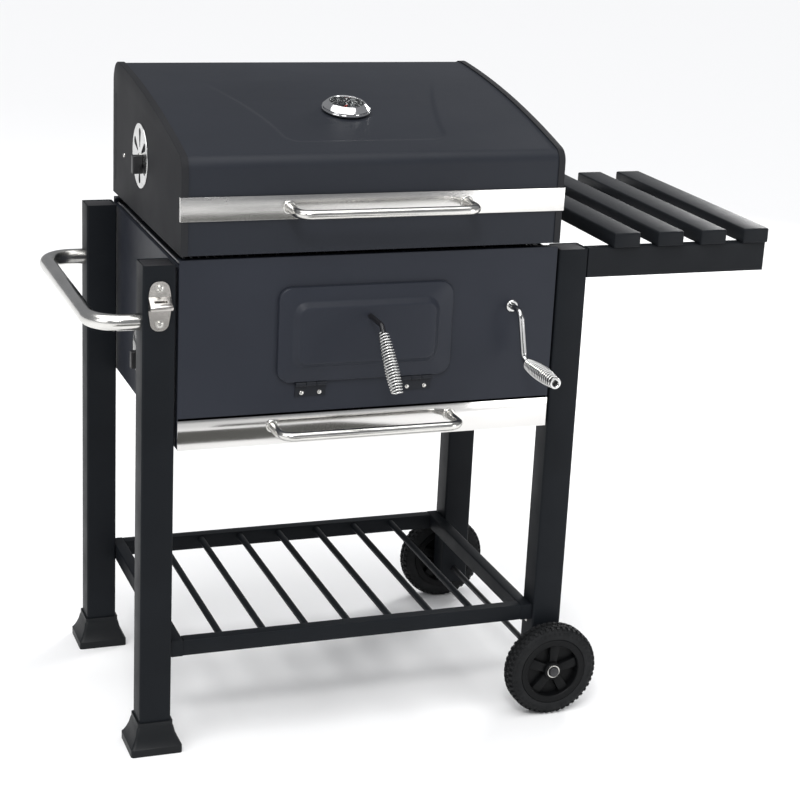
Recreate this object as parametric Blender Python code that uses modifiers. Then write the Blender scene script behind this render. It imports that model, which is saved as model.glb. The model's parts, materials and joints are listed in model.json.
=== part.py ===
"""Charcoal trolley grill on four legs: firebox with a lifting charcoal pan, hinged lid,
fuel door, ash drawer, slatted side table, rod shelf and two wheels.

Units are metres, +Z is up. The grill's front faces -Y and its side table is at +X.
The origin is on the floor, under the middle of the whole grill's box.
"""
import math

import bmesh
import bpy
from mathutils import Matrix, Vector

# ---------------------------------------------------------------- driving dimensions
GAP = 0.0003               # between two pieces that touch
RUNNING = 0.0006           # between a shaft and its bore, all round
SHEET = 0.0015             # folded steel sheet
TUBE_WALL = 0.0015         # wall of the leg and rail tubes

LEG_SPAN_X = 0.700         # outside the left legs to outside the right legs
LEG_SPAN_Y = 0.447         # outside the front legs to outside the back legs
LEG_X = 0.049              # leg tube, across
LEG_Y = 0.044              # leg tube, front to back
LEG_TOP = 0.772
LEG_END = 0.014            # left legs stand this high inside their feet
WHEEL_LEG_END = 0.052      # right legs end at this height, below the axle

FOOT_FLARE = 0.0155        # how far a foot stands out past its leg
FOOT_SKIRT = 0.013
FOOT_SHOULDER = 0.042
FOOT_TOP = 0.050
FOOT_COLLAR = 0.003

WHEEL_R = 0.077
WHEEL_WIDTH = 0.034
WHEEL_STANDOFF = 0.008     # between a leg and its wheel
TYRE_DEPTH = 0.021
AXLE_R = 0.005
AXLE_HEAD_R = 0.0085
AXLE_HEAD = 0.005

SHELF_Z = 0.153            # underside of the shelf rails
SHELF_RAIL_Z = 0.026
SHELF_RAIL = 0.020
SHELF_SETBACK = 0.006      # shelf frame behind the legs' faces
SHELF_RODS = 7
SHELF_ROD_R = 0.0055
SHELF_ROD_PITCH = 0.070
SHELF_FIRST_ROD = 0.064    # from the left rail

FIREBOX_SIDE_GAP = 0.004   # between the firebox and the legs
FIREBOX_TOP = 0.7775
FIREBOX_BOTTOM = 0.489
RIM = 0.014                # inward flange round the top
GRATE_LEDGE_DROP = 0.010   # grate ledge below the rim
GRATE_LEDGE = 0.018
RUNNER = 0.016             # ledge that the ash drawer slides on

DRAWER_FRONT_TOP = 0.5355
TRAY_HEIGHT = 0.036
TRAY_SIDE_GAP = 0.004
TRAY_BACK_GAP = 0.012
STRIP = 0.0012             # stainless strip

DOOR_WIDTH = 0.275
DOOR_CENTRE_X = -0.010     # from the firebox's middle
DOOR_BOTTOM = 0.586
DOOR_HEIGHT = 0.146
DOOR_CORNER = 0.020
DOOR_RIM = 0.006           # how far the door's frame stands off the firebox
DOOR_MARGIN = 0.023        # frame width round the raised centre
DOOR_PANEL_CORNER = 0.014   # corner of the raised centre
DOOR_SLOPE = 0.008
DOOR_RAISE = 0.008
DOOR_LAP = 0.012           # door's overlap on the firebox round its opening
DOOR_HINGE_SPREAD = 0.084  # from the door's middle to each hinge
DOOR_HINGE_LENGTH = 0.048
DOOR_BARREL_R = 0.0035
DOOR_PIN_R = 0.0015
DOOR_LEAF = 0.020

LATCH_X = 0.002            # from the door's middle
LATCH_DROP = 0.046         # below the door's top
HANDLE_ROD_R = 0.004
LATCH_REACH = 0.050
GRIP_LENGTH = 0.096
GRIP_LEAN = 0.56           # slope of the door grip away from the door
GRIP_TWIST = 0.12          # slope of the door grip to the right
HANDLE_ROD_BEND = 0.010
TONGUE = 0.028             # latch tongue above its rod
DOOR_GRIP_R = 0.0115

CRANK_X = 0.227            # from the firebox's middle
CRANK_Z = 0.687
CRANK_ARM = 0.080
CRANK_REST_DEG = 8.0       # the arm hangs this far off the vertical
CRANK_STANDOFF = 0.034     # arm in front of the firebox
CRANK_ROD_R = 0.0042
CRANK_GRIP_R = 0.0125
CRANK_GRIP_LENGTH = 0.104
CRANK_BEND = 0.014

PINION_TEETH = 10
TOOTH_MODULE = 0.0025
PINION_WIDTH = 0.012
PINION_SETBACK = 0.012     # behind the firebox's front sheet
RACK_ABOVE = 0.040            # rack above the crank's axis at rest
RACK_BELOW = 0.058
RACK_BAR = 0.010

PAN_Z = 0.612              # underside of the charcoal pan at the middle of its travel
PAN_HEIGHT = 0.045
PAN_SIDE_GAP = 0.016
PAN_FRONT_GAP = 0.040
PAN_BACK_GAP = 0.012
PAN_SLOTS = 9
PAN_SLOT = 0.008

GRATE_THICK = 0.005
GRATE_BAR = 0.006
GRATE_SLOTS = 11
GRATE_EDGE = 0.010
GRATE_CLEAR = 0.003

LID_DEPTH = 0.460
LID_BOTTOM = 0.785
LID_TOP = 1.000
LID_FRONT_CENTRE_Z = 0.909  # centre of the front corner's arc
LID_FRONT_R = 0.022
LID_BACK_R = 0.035
LID_ROOF_R = 2.200
LID_FLANGE = 0.009          # side cap's flange over the lid sheet
LID_TRIM_BOTTOM = 0.8355
LID_TRIM_HEIGHT = 0.0355
LID_TRIM_WRAP = 0.006

HANDLE_R = 0.0070
LID_HANDLE_SPAN = 0.276
LID_HANDLE_Z = 0.8535
LID_HANDLE_REACH = 0.056
DRAWER_HANDLE_SPAN = 0.284
DRAWER_HANDLE_Z = 0.519
DRAWER_HANDLE_REACH = 0.056
HANDLE_BEND = 0.020

THERMOMETER_R = 0.0375
THERMOMETER_Y = -0.062      # from the legs' middle
THERMOMETER_HEIGHT = 0.014
NEEDLE_LENGTH = 0.040
NEEDLE_REST_DEG = 135.0

VENT_R = 0.050
VENT_Y = 0.030              # from the legs' middle
LID_VENT_Z = 0.881
VENT_HOLE_R = 0.0095
VENT_HOLE_CIRCLE = 0.030
VENT_HOLES = 4
VENT_SHEET = 0.0012
FIREBOX_VENT_R = 0.040
FIREBOX_VENT_Z = 0.568
FIREBOX_VENT_CIRCLE = 0.024
FIREBOX_VENT_HOLE_R = 0.0075
VENT_KNOB_Z = 0.030
VENT_KNOB_Y = 0.010
VENT_KNOB_X = 0.022

LID_HINGE_SPREAD = 0.190
LID_HINGE_WIDTH = 0.060
LID_BARREL_R = 0.0042
LID_PIN_R = 0.0020
LID_LEAF = 0.0022
LID_LEAF_HEIGHT = 0.028

PUSH_REACH = 0.080          # outside the left legs
PUSH_R = 0.0125
PUSH_Z = 0.684
PUSH_BEND = 0.045

OPENER_WIDTH = 0.040
OPENER_HEIGHT = 0.074
OPENER_Z = 0.712
OPENER_SHEET = 0.002
OPENER_LIP = 0.014

TABLE_REACH = 0.310         # outside the right legs
TABLE_RAIL_BOTTOM = 0.7260
TABLE_RAIL_TOP = 0.7730
TABLE_RAIL = 0.020
SLATS = 4
SLAT_WIDTH = 0.0450
SLAT_HEIGHT = 0.0235
SLAT_LENGTH = 0.464
SLAT_LEG_GAP = 0.039        # first slat outside the right legs

ROUND_STEPS = 24

# ---------------------------------------------------------------- places worked out from them
CX = (PUSH_REACH - TABLE_REACH) / 2                       # middle of the legs, across
LEFT = CX - LEG_SPAN_X / 2
RIGHT = CX + LEG_SPAN_X / 2
FRONT_REACH = CRANK_STANDOFF + CRANK_GRIP_LENGTH + CRANK_BEND
BACK_REACH = WHEEL_STANDOFF + WHEEL_WIDTH + GAP + AXLE_HEAD
CY = (FRONT_REACH - BACK_REACH) / 2                       # middle of the legs, front to back
FRONT = CY - LEG_SPAN_Y / 2
BACK = CY + LEG_SPAN_Y / 2

BOX_LEFT = LEFT + LEG_X + FIREBOX_SIDE_GAP
BOX_RIGHT = RIGHT - LEG_X - FIREBOX_SIDE_GAP
BOX_WIDTH = BOX_RIGHT - BOX_LEFT
INNER_LEFT = BOX_LEFT + SHEET
INNER_RIGHT = BOX_RIGHT - SHEET
INNER_FRONT = FRONT + SHEET + GAP
INNER_BACK = BACK - SHEET - GAP

LID_FRONT = CY - LID_DEPTH / 2
LID_BACK = CY + LID_DEPTH / 2
DOOR_X = CX + DOOR_CENTRE_X
DOOR_BACK_Y = FRONT - GAP
DOOR_AXIS_Y = FRONT - GAP - DOOR_BARREL_R
DOOR_AXIS_Z = DOOR_BOTTOM - GAP - DOOR_BARREL_R
LATCH_AXIS_X = DOOR_X + LATCH_X
LATCH_AXIS_Z = DOOR_BOTTOM + DOOR_HEIGHT - LATCH_DROP
CRANK_AXIS_X = CX + CRANK_X
WHEEL_X = RIGHT - LEG_X / 2
WHEEL_FRONT_Y = FRONT - WHEEL_STANDOFF - WHEEL_WIDTH / 2
WHEEL_BACK_Y = BACK + WHEEL_STANDOFF + WHEEL_WIDTH / 2
LID_AXIS_Y = LID_BACK + LID_BARREL_R + GAP
LID_AXIS_Z = (FIREBOX_TOP + LID_BOTTOM) / 2

# ---------------------------------------------------------------- scene and materials
for old in list(bpy.data.objects):
    bpy.data.objects.remove(old, do_unlink=True)

PARTS = bpy.data.collections.new("charcoal_trolley_grill")
CUTTERS = bpy.data.collections.new("cutters")
bpy.context.scene.collection.children.link(PARTS)
bpy.context.scene.collection.children.link(CUTTERS)


def finish(name, colour, roughness, metallic):
    made = bpy.data.materials.new(name)
    made.use_nodes = True
    shader = made.node_tree.nodes["Principled BSDF"]
    shader.inputs["Base Color"].default_value = (*colour, 1.0)
    shader.inputs["Roughness"].default_value = roughness
    shader.inputs["Metallic"].default_value = metallic
    return made


BLACK_COAT = finish("black_powder_coat", (0.030, 0.032, 0.037), 0.45, 0.0)
FRAME_COAT = finish("black_frame_coat", (0.020, 0.022, 0.024), 0.50, 0.0)
STAINLESS = finish("brushed_stainless", (0.62, 0.61, 0.59), 0.30, 1.0)
CHROME = finish("chromed_wire", (0.75, 0.75, 0.75), 0.12, 1.0)
PLASTIC = finish("black_plastic", (0.015, 0.015, 0.016), 0.55, 0.0)
RUBBER = finish("tyre_rubber", (0.012, 0.012, 0.012), 0.80, 0.0)
ENAMEL = finish("black_enamel", (0.010, 0.010, 0.011), 0.30, 0.0)
ZINC = finish("zinc_plated_steel", (0.45, 0.45, 0.44), 0.40, 1.0)


# ---------------------------------------------------------------- modelling helpers
def add_object(name, data, material, collection=PARTS):
    made = bpy.data.objects.new(name, data)
    collection.objects.link(made)
    if material is not None:
        data.materials.append(material)
    if collection is CUTTERS:
        made.hide_render = True
        made.display_type = "WIRE"
    return made


def mesh_object(name, shape, material, location=(0, 0, 0), collection=PARTS):
    """Turn a bmesh into an object whose origin is at location."""
    mesh = bpy.data.meshes.new(name)
    shape.to_mesh(mesh)
    shape.free()
    made = add_object(name, mesh, material, collection)
    made.location = location
    return made


def box_shape(size):
    shape = bmesh.new()
    bmesh.ops.create_cube(shape, size=1.0)
    bmesh.ops.scale(shape, vec=Vector(size), verts=shape.verts)
    return shape


def box(name, low, high, material, collection=PARTS):
    """Solid box between two corners."""
    size = [h - l for l, h in zip(low, high)]
    middle = [(h + l) / 2 for l, h in zip(low, high)]
    return mesh_object(name, box_shape(size), material, middle, collection)


def cylinder(name, middle, radius, length, axis, material, collection=PARTS, steps=ROUND_STEPS):
    shape = bmesh.new()
    bmesh.ops.create_cone(shape, cap_ends=True, segments=steps, radius1=radius, radius2=radius,
                          depth=length)
    made = mesh_object(name, shape, material, middle, collection)
    made.rotation_euler = Vector((0, 0, 1)).rotation_difference(Vector(axis)).to_euler()
    return made


def solidify(target, thickness, offset=-1.0):
    wall = target.modifiers.new("sheet", "SOLIDIFY")
    wall.thickness = thickness
    wall.offset = offset
    wall.use_even_offset = True
    return wall


def boolean(target, tool, operation="DIFFERENCE"):
    cut = target.modifiers.new(operation.lower(), "BOOLEAN")
    cut.operation = operation
    cut.solver = "EXACT"
    cut.object = tool
    return cut


def tube_bar(name, low, high, axis, material):
    """Rectangular steel tube between two corners, open at both ends of its axis (0, 1 or 2)."""
    size = [h - l for l, h in zip(low, high)]
    middle = [(h + l) / 2 for l, h in zip(low, high)]
    shape = box_shape(size)
    ends = [f for f in shape.faces if abs(f.normal[axis]) > 0.9]
    bmesh.ops.delete(shape, geom=ends, context="FACES_ONLY")
    made = mesh_object(name, shape, material, middle)
    solidify(made, TUBE_WALL)
    return made


def folded_sheet(name, section, run, material, location=(0, 0, 0), thickness=SHEET, side=-1.0):
    """Sheet folded to an open section (points in 3-D), drawn out along the vector run."""
    shape = bmesh.new()
    points = [shape.verts.new(p) for p in section]
    edges = [shape.edges.new(pair) for pair in zip(points, points[1:])]
    drawn = bmesh.ops.extrude_edge_only(shape, edges=edges)
    moved = [g for g in drawn["geom"] if isinstance(g, bmesh.types.BMVert)]
    bmesh.ops.translate(shape, vec=Vector(run), verts=moved)
    made = mesh_object(name, shape, material, location)
    solidify(made, thickness, side)
    return made


def open_tray(name, low, high, material, thickness=SHEET):
    """Folded tray between two corners, open on top."""
    size = [h - l for l, h in zip(low, high)]
    middle = [(h + l) / 2 for l, h in zip(low, high)]
    shape = box_shape(size)
    top = [f for f in shape.faces if f.normal.z > 0.9]
    bmesh.ops.delete(shape, geom=top, context="FACES_ONLY")
    made = mesh_object(name, shape, material, middle)
    solidify(made, thickness)
    return made


def turned(name, profile, material, location, axis=(0, 0, 1), steps=ROUND_STEPS, closed=False,
           collection=PARTS):
    """Turned shape: profile is (radius, height) pairs down its outer side."""
    mesh = bpy.data.meshes.new(name)
    edges = [(i, i + 1) for i in range(len(profile) - 1)]
    if closed:
        edges.append((len(profile) - 1, 0))
    mesh.from_pydata([(r, 0, z) for r, z in profile], edges, [])
    made = add_object(name, mesh, material, collection)
    made.location = location
    made.rotation_euler = Vector((0, 0, 1)).rotation_difference(Vector(axis)).to_euler()
    spin = made.modifiers.new("turn", "SCREW")
    spin.steps = steps
    spin.render_steps = steps
    spin.use_merge_vertices = True
    spin.merge_threshold = 0.00005
    return made


def bent_path(corners, radius, steps=5):
    """Points along straight runs between corners, with an arc of the given radius at each bend."""
    corners = [Vector(c) for c in corners]
    path = [corners[0]]
    for before, corner, after in zip(corners, corners[1:], corners[2:]):
        to_before = (before - corner).normalized()
        to_after = (after - corner).normalized()
        half = to_before.angle(to_after) / 2
        reach = radius / math.tan(half)
        middle = corner + (to_before + to_after).normalized() * (radius / math.sin(half))
        start = corner + to_before * reach - middle
        end = corner + to_after * reach - middle
        turn = start.angle(end)
        for i in range(steps + 1):
            t = i / steps
            spot = start * math.sin((1 - t) * turn) + end * math.sin(t * turn)
            path.append(middle + spot / math.sin(turn))
    path.append(corners[-1])
    return path


def bent_rod(name, path, radius, material, location=(0, 0, 0)):
    """Round rod or tube along a path of points, with flat ends."""
    curve = bpy.data.curves.new(name, "CURVE")
    curve.dimensions = "3D"
    curve.bevel_depth = radius
    curve.bevel_resolution = 2
    curve.use_fill_caps = True
    line = curve.splines.new("POLY")
    line.points.add(len(path) - 1)
    for point, place in zip(line.points, path):
        point.co = (*place, 1.0)
    made = add_object(name, curve, material)
    made.location = location
    return made


def flat_outline(name, loops, thickness, material, location, rotation=(0, 0, 0), collection=PARTS):
    """Flat plate: a 2-D outline with its holes, filled and given a thickness."""
    curve = bpy.data.curves.new(name, "CURVE")
    curve.dimensions = "2D"
    curve.fill_mode = "BOTH"
    curve.extrude = thickness / 2
    for loop in loops:
        line = curve.splines.new("POLY")
        line.points.add(len(loop) - 1)
        line.use_cyclic_u = True
        for point, place in zip(line.points, loop):
            point.co = (place[0], place[1], 0.0, 1.0)
    made = add_object(name, curve, material, collection)
    made.location = location
    made.rotation_euler = rotation
    return made


def pivot(name, location):
    """Empty that stands on a joint's axis and carries the pieces that move together."""
    made = bpy.data.objects.new(name, None)
    made.location = location
    PARTS.objects.link(made)
    return made


def carry(parent, *children):
    """Parent pieces to a pivot without moving them."""
    for child in children:
        child.parent = parent
        child.matrix_parent_inverse = Matrix.Translation(-parent.location)


# ---------------------------------------------------------------- legs and feet
def make_leg(name, x, y, bottom):
    return tube_bar(name, (x, y, bottom), (x + LEG_X, y + LEG_Y, LEG_TOP), 2, FRAME_COAT)


def make_foot(name, leg_x, leg_y):
    """Moulded foot: straight skirt, flared shoulder and a collar that grips the leg."""
    middle = (leg_x + LEG_X / 2, leg_y + LEG_Y / 2)
    shape = box_shape((LEG_X + 2 * FOOT_FLARE, LEG_Y + 2 * FOOT_FLARE, FOOT_SKIRT))
    bmesh.ops.translate(shape, vec=(0, 0, FOOT_SKIRT / 2), verts=shape.verts)
    steps = [(FOOT_COLLAR, FOOT_SHOULDER), (FOOT_COLLAR, FOOT_TOP)]
    for margin, height in steps:
        shape.faces.ensure_lookup_table()
        top = max(shape.faces, key=lambda f: f.calc_center_median().z)
        raised = bmesh.ops.extrude_face_region(shape, geom=[top])
        bmesh.ops.delete(shape, geom=[top], context="FACES_ONLY")
        for vert in [g for g in raised["geom"] if isinstance(g, bmesh.types.BMVert)]:
            vert.co.x = math.copysign(LEG_X / 2 + margin, vert.co.x)
            vert.co.y = math.copysign(LEG_Y / 2 + margin, vert.co.y)
            vert.co.z = height
    foot = mesh_object(name, shape, PLASTIC, (*middle, 0))
    pocket = box(name + "_pocket", (leg_x - GAP, leg_y - GAP, LEG_END - GAP),
                 (leg_x + LEG_X + GAP, leg_y + LEG_Y + GAP, FOOT_TOP + 0.01), None, CUTTERS)
    boolean(foot, pocket)
    return foot


LEGS = {}
for across, leg_x, leg_end in (("left", LEFT, LEG_END), ("right", RIGHT - LEG_X, WHEEL_LEG_END)):
    for along, leg_y in (("front", FRONT), ("back", BACK - LEG_Y)):
        LEGS[along, across] = make_leg(f"leg_{along}_{across}", leg_x, leg_y, leg_end)
        if across == "left":
            make_foot(f"foot_{along}_left", leg_x, leg_y)

# ---------------------------------------------------------------- axle and wheels
AXLE_LENGTH = LEG_SPAN_Y + 2 * BACK_REACH
axle_profile = [(0, AXLE_LENGTH / 2), (AXLE_HEAD_R, AXLE_LENGTH / 2),
                (AXLE_HEAD_R, AXLE_LENGTH / 2 - AXLE_HEAD), (AXLE_R, AXLE_LENGTH / 2 - AXLE_HEAD),
                (AXLE_R, AXLE_HEAD - AXLE_LENGTH / 2), (AXLE_HEAD_R, AXLE_HEAD - AXLE_LENGTH / 2),
                (AXLE_HEAD_R, -AXLE_LENGTH / 2), (0, -AXLE_LENGTH / 2)]
turned("axle", axle_profile, ZINC, (WHEEL_X, CY, WHEEL_R), (0, 1, 0), steps=16)
axle_bore = cylinder("axle_bore", (WHEEL_X, CY, WHEEL_R), AXLE_R + GAP, LEG_SPAN_Y + 0.02,
                     (0, 1, 0), None, CUTTERS, steps=16)
boolean(LEGS["front", "right"], axle_bore)
boolean(LEGS["back", "right"], axle_bore)

TYRE_INNER = WHEEL_R - TYRE_DEPTH


def make_wheel(along, y):
    """Rubber tyre on a dished plastic hub with five spokes."""
    half = WHEEL_WIDTH / 2
    round_off = 0.007
    tyre = [(TYRE_INNER, half - 0.004), (WHEEL_R - round_off, half), (WHEEL_R - 0.002, half - round_off / 2),
            (WHEEL_R, half - round_off), (WHEEL_R, round_off - half), (WHEEL_R - 0.002, round_off / 2 - half),
            (WHEEL_R - round_off, -half), (TYRE_INNER, 0.004 - half)]
    bore = AXLE_R + RUNNING
    rim = TYRE_INNER - GAP
    web = 0.005
    hub = [(bore, half), (0.013, half), (0.015, web), (rim - 0.006, web), (rim - 0.003, half - 0.006),
           (rim, half - 0.006), (rim, 0.006 - half), (rim - 0.003, 0.006 - half), (rim - 0.006, -web),
           (0.015, -web), (0.013, -half), (bore, -half)]
    spin = pivot(f"wheel_{along}_pivot", (WHEEL_X, y, WHEEL_R))
    tyre_piece = turned(f"tyre_{along}", tyre, RUBBER, (0, 0, 0), (0, 1, 0), steps=32, closed=True)
    hub_piece = turned(f"hub_{along}", hub, PLASTIC, (0, 0, 0), (0, 1, 0), steps=32, closed=True)
    tyre_piece.parent = spin
    hub_piece.parent = spin
    return hub_piece


def cut_hub_windows(hub_piece, along, y):
    """Five openings between the spokes."""
    web_inner, web_outer = 0.015, TYRE_INNER - 0.0063
    window_r = 0.274 * (web_outer - web_inner)
    circle = (web_inner + web_outer) / 2
    for i in range(5):
        angle = math.radians(90 + 72 * i)
        spot = (WHEEL_X + circle * math.cos(angle), y, WHEEL_R + circle * math.sin(angle))
        window = cylinder(f"hub_{along}_window_{i + 1}", spot, window_r, WHEEL_WIDTH, (0, 1, 0), None,
                          CUTTERS, steps=12)
        boolean(hub_piece, window)


for along, wheel_y in (("front", WHEEL_FRONT_Y), ("back", WHEEL_BACK_Y)):
    cut_hub_windows(make_wheel(along, wheel_y), along, wheel_y)

# ---------------------------------------------------------------- lower shelf
SHELF_TOP = SHELF_Z + SHELF_RAIL_Z
SHELF_LEFT = LEFT + LEG_X + GAP
SHELF_RIGHT = RIGHT - LEG_X - GAP
SHELF_FRONT = FRONT + SHELF_SETBACK
SHELF_BACK = BACK - SHELF_SETBACK
tube_bar("shelf_left_rail", (SHELF_LEFT, SHELF_FRONT, SHELF_Z),
         (SHELF_LEFT + SHELF_RAIL, SHELF_BACK, SHELF_TOP), 1, FRAME_COAT)
tube_bar("shelf_right_rail", (SHELF_RIGHT - SHELF_RAIL, SHELF_FRONT, SHELF_Z),
         (SHELF_RIGHT, SHELF_BACK, SHELF_TOP), 1, FRAME_COAT)


def make_shelf_grid():
    """Front and back rails with the rods welded between them."""
    left = SHELF_LEFT + SHELF_RAIL + GAP
    right = SHELF_RIGHT - SHELF_RAIL - GAP
    grid = tube_bar("shelf_grid", (left, SHELF_FRONT, SHELF_Z), (right, SHELF_FRONT + SHELF_RAIL, SHELF_TOP),
                    0, FRAME_COAT)
    back_rail = tube_bar("shelf_grid_back_rail", (left, SHELF_BACK - SHELF_RAIL, SHELF_Z),
                         (right, SHELF_BACK, SHELF_TOP), 0, None)
    rods = [back_rail]
    weld = TUBE_WALL / 2
    for i in range(SHELF_RODS):
        x = left + SHELF_FIRST_ROD + i * SHELF_ROD_PITCH
        length = SHELF_BACK - SHELF_FRONT - 2 * SHELF_RAIL + 2 * weld
        rods.append(cylinder(f"shelf_grid_rod_{i + 1}", (x, CY, SHELF_TOP - SHELF_ROD_R - 0.003),
                             SHELF_ROD_R, length, (0, 1, 0), None, CUTTERS, steps=8))
    PARTS.objects.unlink(back_rail)
    CUTTERS.objects.link(back_rail)
    back_rail.hide_render = True
    back_rail.display_type = "WIRE"
    for i in range(1, len(rods)):
        boolean(grid, rods[i], "UNION")
    boolean(grid, back_rail, "UNION")


make_shelf_grid()

# ---------------------------------------------------------------- firebox sheets
DRAWER_SLOT_TOP = DRAWER_FRONT_TOP + 0.003


def make_firebox_ends():
    """Front sheet over the drawer slot, and full-height back sheet, each with a rim flange."""
    width = (BOX_WIDTH, 0, 0)
    section = [(BOX_LEFT, FRONT + RIM, FIREBOX_TOP), (BOX_LEFT, FRONT, FIREBOX_TOP),
               (BOX_LEFT, FRONT, DRAWER_SLOT_TOP)]
    front = folded_sheet("firebox_front", section, width, BLACK_COAT, side=1.0)
    section = [(BOX_LEFT, BACK - RIM, FIREBOX_BOTTOM), (BOX_LEFT, BACK, FIREBOX_BOTTOM),
               (BOX_LEFT, BACK, FIREBOX_TOP), (BOX_LEFT, BACK - RIM, FIREBOX_TOP)]
    back = folded_sheet("firebox_back", section, width, BLACK_COAT, side=1.0)
    return front, back


def make_firebox_side(name, outer, inward):
    """Side sheet: grate ledge at the top, straight wall, drawer runner at the bottom."""
    top = FIREBOX_TOP - SHEET - GAP - GRATE_LEDGE_DROP
    bottom = FIREBOX_BOTTOM + SHEET + GAP
    section = [(outer + inward * GRATE_LEDGE, INNER_FRONT, top), (outer, INNER_FRONT, top),
               (outer, INNER_FRONT, bottom), (outer + inward * RUNNER, INNER_FRONT, bottom)]
    run = (0, INNER_BACK - INNER_FRONT, 0)
    return folded_sheet(name, section, run, BLACK_COAT, side=-1.0 if inward > 0 else 1.0)


firebox_front, firebox_back = make_firebox_ends()
firebox_left = make_firebox_side("firebox_left", BOX_LEFT, 1)
firebox_right = make_firebox_side("firebox_right", BOX_RIGHT, -1)


# ---------------------------------------------------------------- air vents
def make_vent(name, wall, wall_x, outward, z, radius, circle, hole_r):
    """Perforated disc that turns on the outside of a wall, with a knob block to turn it by."""
    spot = Vector((wall_x + outward * (GAP + VENT_SHEET / 2), CY + VENT_Y, z))
    disc = cylinder(name, spot, radius, VENT_SHEET, (1, 0, 0), STAINLESS)
    for k in range(VENT_HOLES):
        turn = 2 * math.pi * (k + 0.5) / VENT_HOLES
        place = spot + Vector((0, circle * math.cos(turn), circle * math.sin(turn)))
        hole = cylinder(f"{name}_hole_{k + 1}", place, hole_r, 0.03, (1, 0, 0), None, CUTTERS, steps=14)
        boolean(wall, hole)
        boolean(disc, hole)
    knob_ends = (spot.x, spot.x + outward * (VENT_SHEET / 2 + VENT_KNOB_X))
    knob = box(name + "_knob", (min(knob_ends), spot.y - VENT_KNOB_Y / 2, z - VENT_KNOB_Z / 2),
               (max(knob_ends), spot.y + VENT_KNOB_Y / 2, z + VENT_KNOB_Z / 2), None, CUTTERS)
    boolean(disc, knob, "UNION")
    swivel = pivot(name + "_pivot", spot)
    carry(swivel, disc)
    return swivel


make_vent("firebox_vent", firebox_left, BOX_LEFT, -1, FIREBOX_VENT_Z, FIREBOX_VENT_R,
          FIREBOX_VENT_CIRCLE, FIREBOX_VENT_HOLE_R)


# ---------------------------------------------------------------- cooking grates
def make_grates():
    """Two slotted grates side by side on the ledges of the side sheets."""
    z = FIREBOX_TOP - SHEET - GAP - GRATE_LEDGE_DROP + GAP + GRATE_THICK / 2
    left = INNER_LEFT + GRATE_CLEAR
    right = INNER_RIGHT - GRATE_CLEAR
    width = (right - left - GRATE_CLEAR) / 2
    depth = INNER_BACK - INNER_FRONT - 2 * GRATE_CLEAR
    pitch = (width - 2 * GRATE_EDGE + GRATE_BAR) / GRATE_SLOTS
    slot = pitch - GRATE_BAR
    for k, side in enumerate(("left", "right")):
        x = left + k * (width + GRATE_CLEAR)
        loops = [[(0, 0), (width, 0), (width, depth), (0, depth)]]
        for i in range(GRATE_SLOTS):
            a = GRATE_EDGE + i * pitch
            loops.append([(a, GRATE_EDGE), (a + slot, GRATE_EDGE), (a + slot, depth - GRATE_EDGE),
                          (a, depth - GRATE_EDGE)])
        flat_outline(f"cooking_grate_{side}", loops, GRATE_THICK, CHROME, (x, INNER_FRONT + GRATE_CLEAR, z))


make_grates()


# ---------------------------------------------------------------- tubular pull handles
def make_pull(name, middle_x, face_y, z, span, reach):
    half = span / 2
    corners = [(-half, -GAP, 0), (-half, -reach, 0), (half, -reach, 0), (half, -GAP, 0)]
    return bent_rod(name, bent_path(corners, HANDLE_BEND), HANDLE_R, STAINLESS, (middle_x, face_y, z))


# ---------------------------------------------------------------- ash drawer
def make_ash_drawer():
    """Steel tray on the side sheets' runners, with a stainless front and a tube handle."""
    tray_bottom = FIREBOX_BOTTOM + 2 * SHEET + 3 * GAP
    slide = pivot("ash_drawer_pivot", (CX, FRONT, tray_bottom))
    tray = open_tray("ash_tray", (INNER_LEFT + TRAY_SIDE_GAP, FRONT + GAP, tray_bottom),
                     (INNER_RIGHT - TRAY_SIDE_GAP, INNER_BACK - SHEET - TRAY_BACK_GAP, tray_bottom + TRAY_HEIGHT),
                     ENAMEL)
    face = FRONT - STRIP
    section = [(BOX_LEFT, INNER_FRONT - GAP, DRAWER_FRONT_TOP), (BOX_LEFT, face, DRAWER_FRONT_TOP),
               (BOX_LEFT, face, FIREBOX_BOTTOM)]
    front = folded_sheet("ash_drawer_front", section, (BOX_WIDTH, 0, 0), STAINLESS, thickness=STRIP,
                         side=1.0)
    handle = make_pull("ash_drawer_handle", CX + DOOR_CENTRE_X, face, DRAWER_HANDLE_Z,
                       DRAWER_HANDLE_SPAN, DRAWER_HANDLE_REACH)
    carry(slide, tray, front, handle)


make_ash_drawer()

# ---------------------------------------------------------------- charcoal pan and its lift
PAN_LEFT = INNER_LEFT + PAN_SIDE_GAP + RUNNER - SHEET
PAN_RIGHT = INNER_RIGHT - PAN_SIDE_GAP - RUNNER + SHEET
PAN_FRONT = INNER_FRONT + PAN_FRONT_GAP
PAN_BACK = INNER_BACK - SHEET - PAN_BACK_GAP
PINION_Y = FRONT + SHEET + PINION_SETBACK + PINION_WIDTH / 2
PITCH_R = PINION_TEETH * TOOTH_MODULE / 2
ADDENDUM = 0.85 * TOOTH_MODULE
DEDENDUM = 1.20 * TOOTH_MODULE
TOOTH_PITCH = math.pi * TOOTH_MODULE
TOOTH_ROOT = 0.46 * TOOTH_PITCH     # tooth thickness at its root
TOOTH_TIP = 0.16 * TOOTH_PITCH


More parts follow.
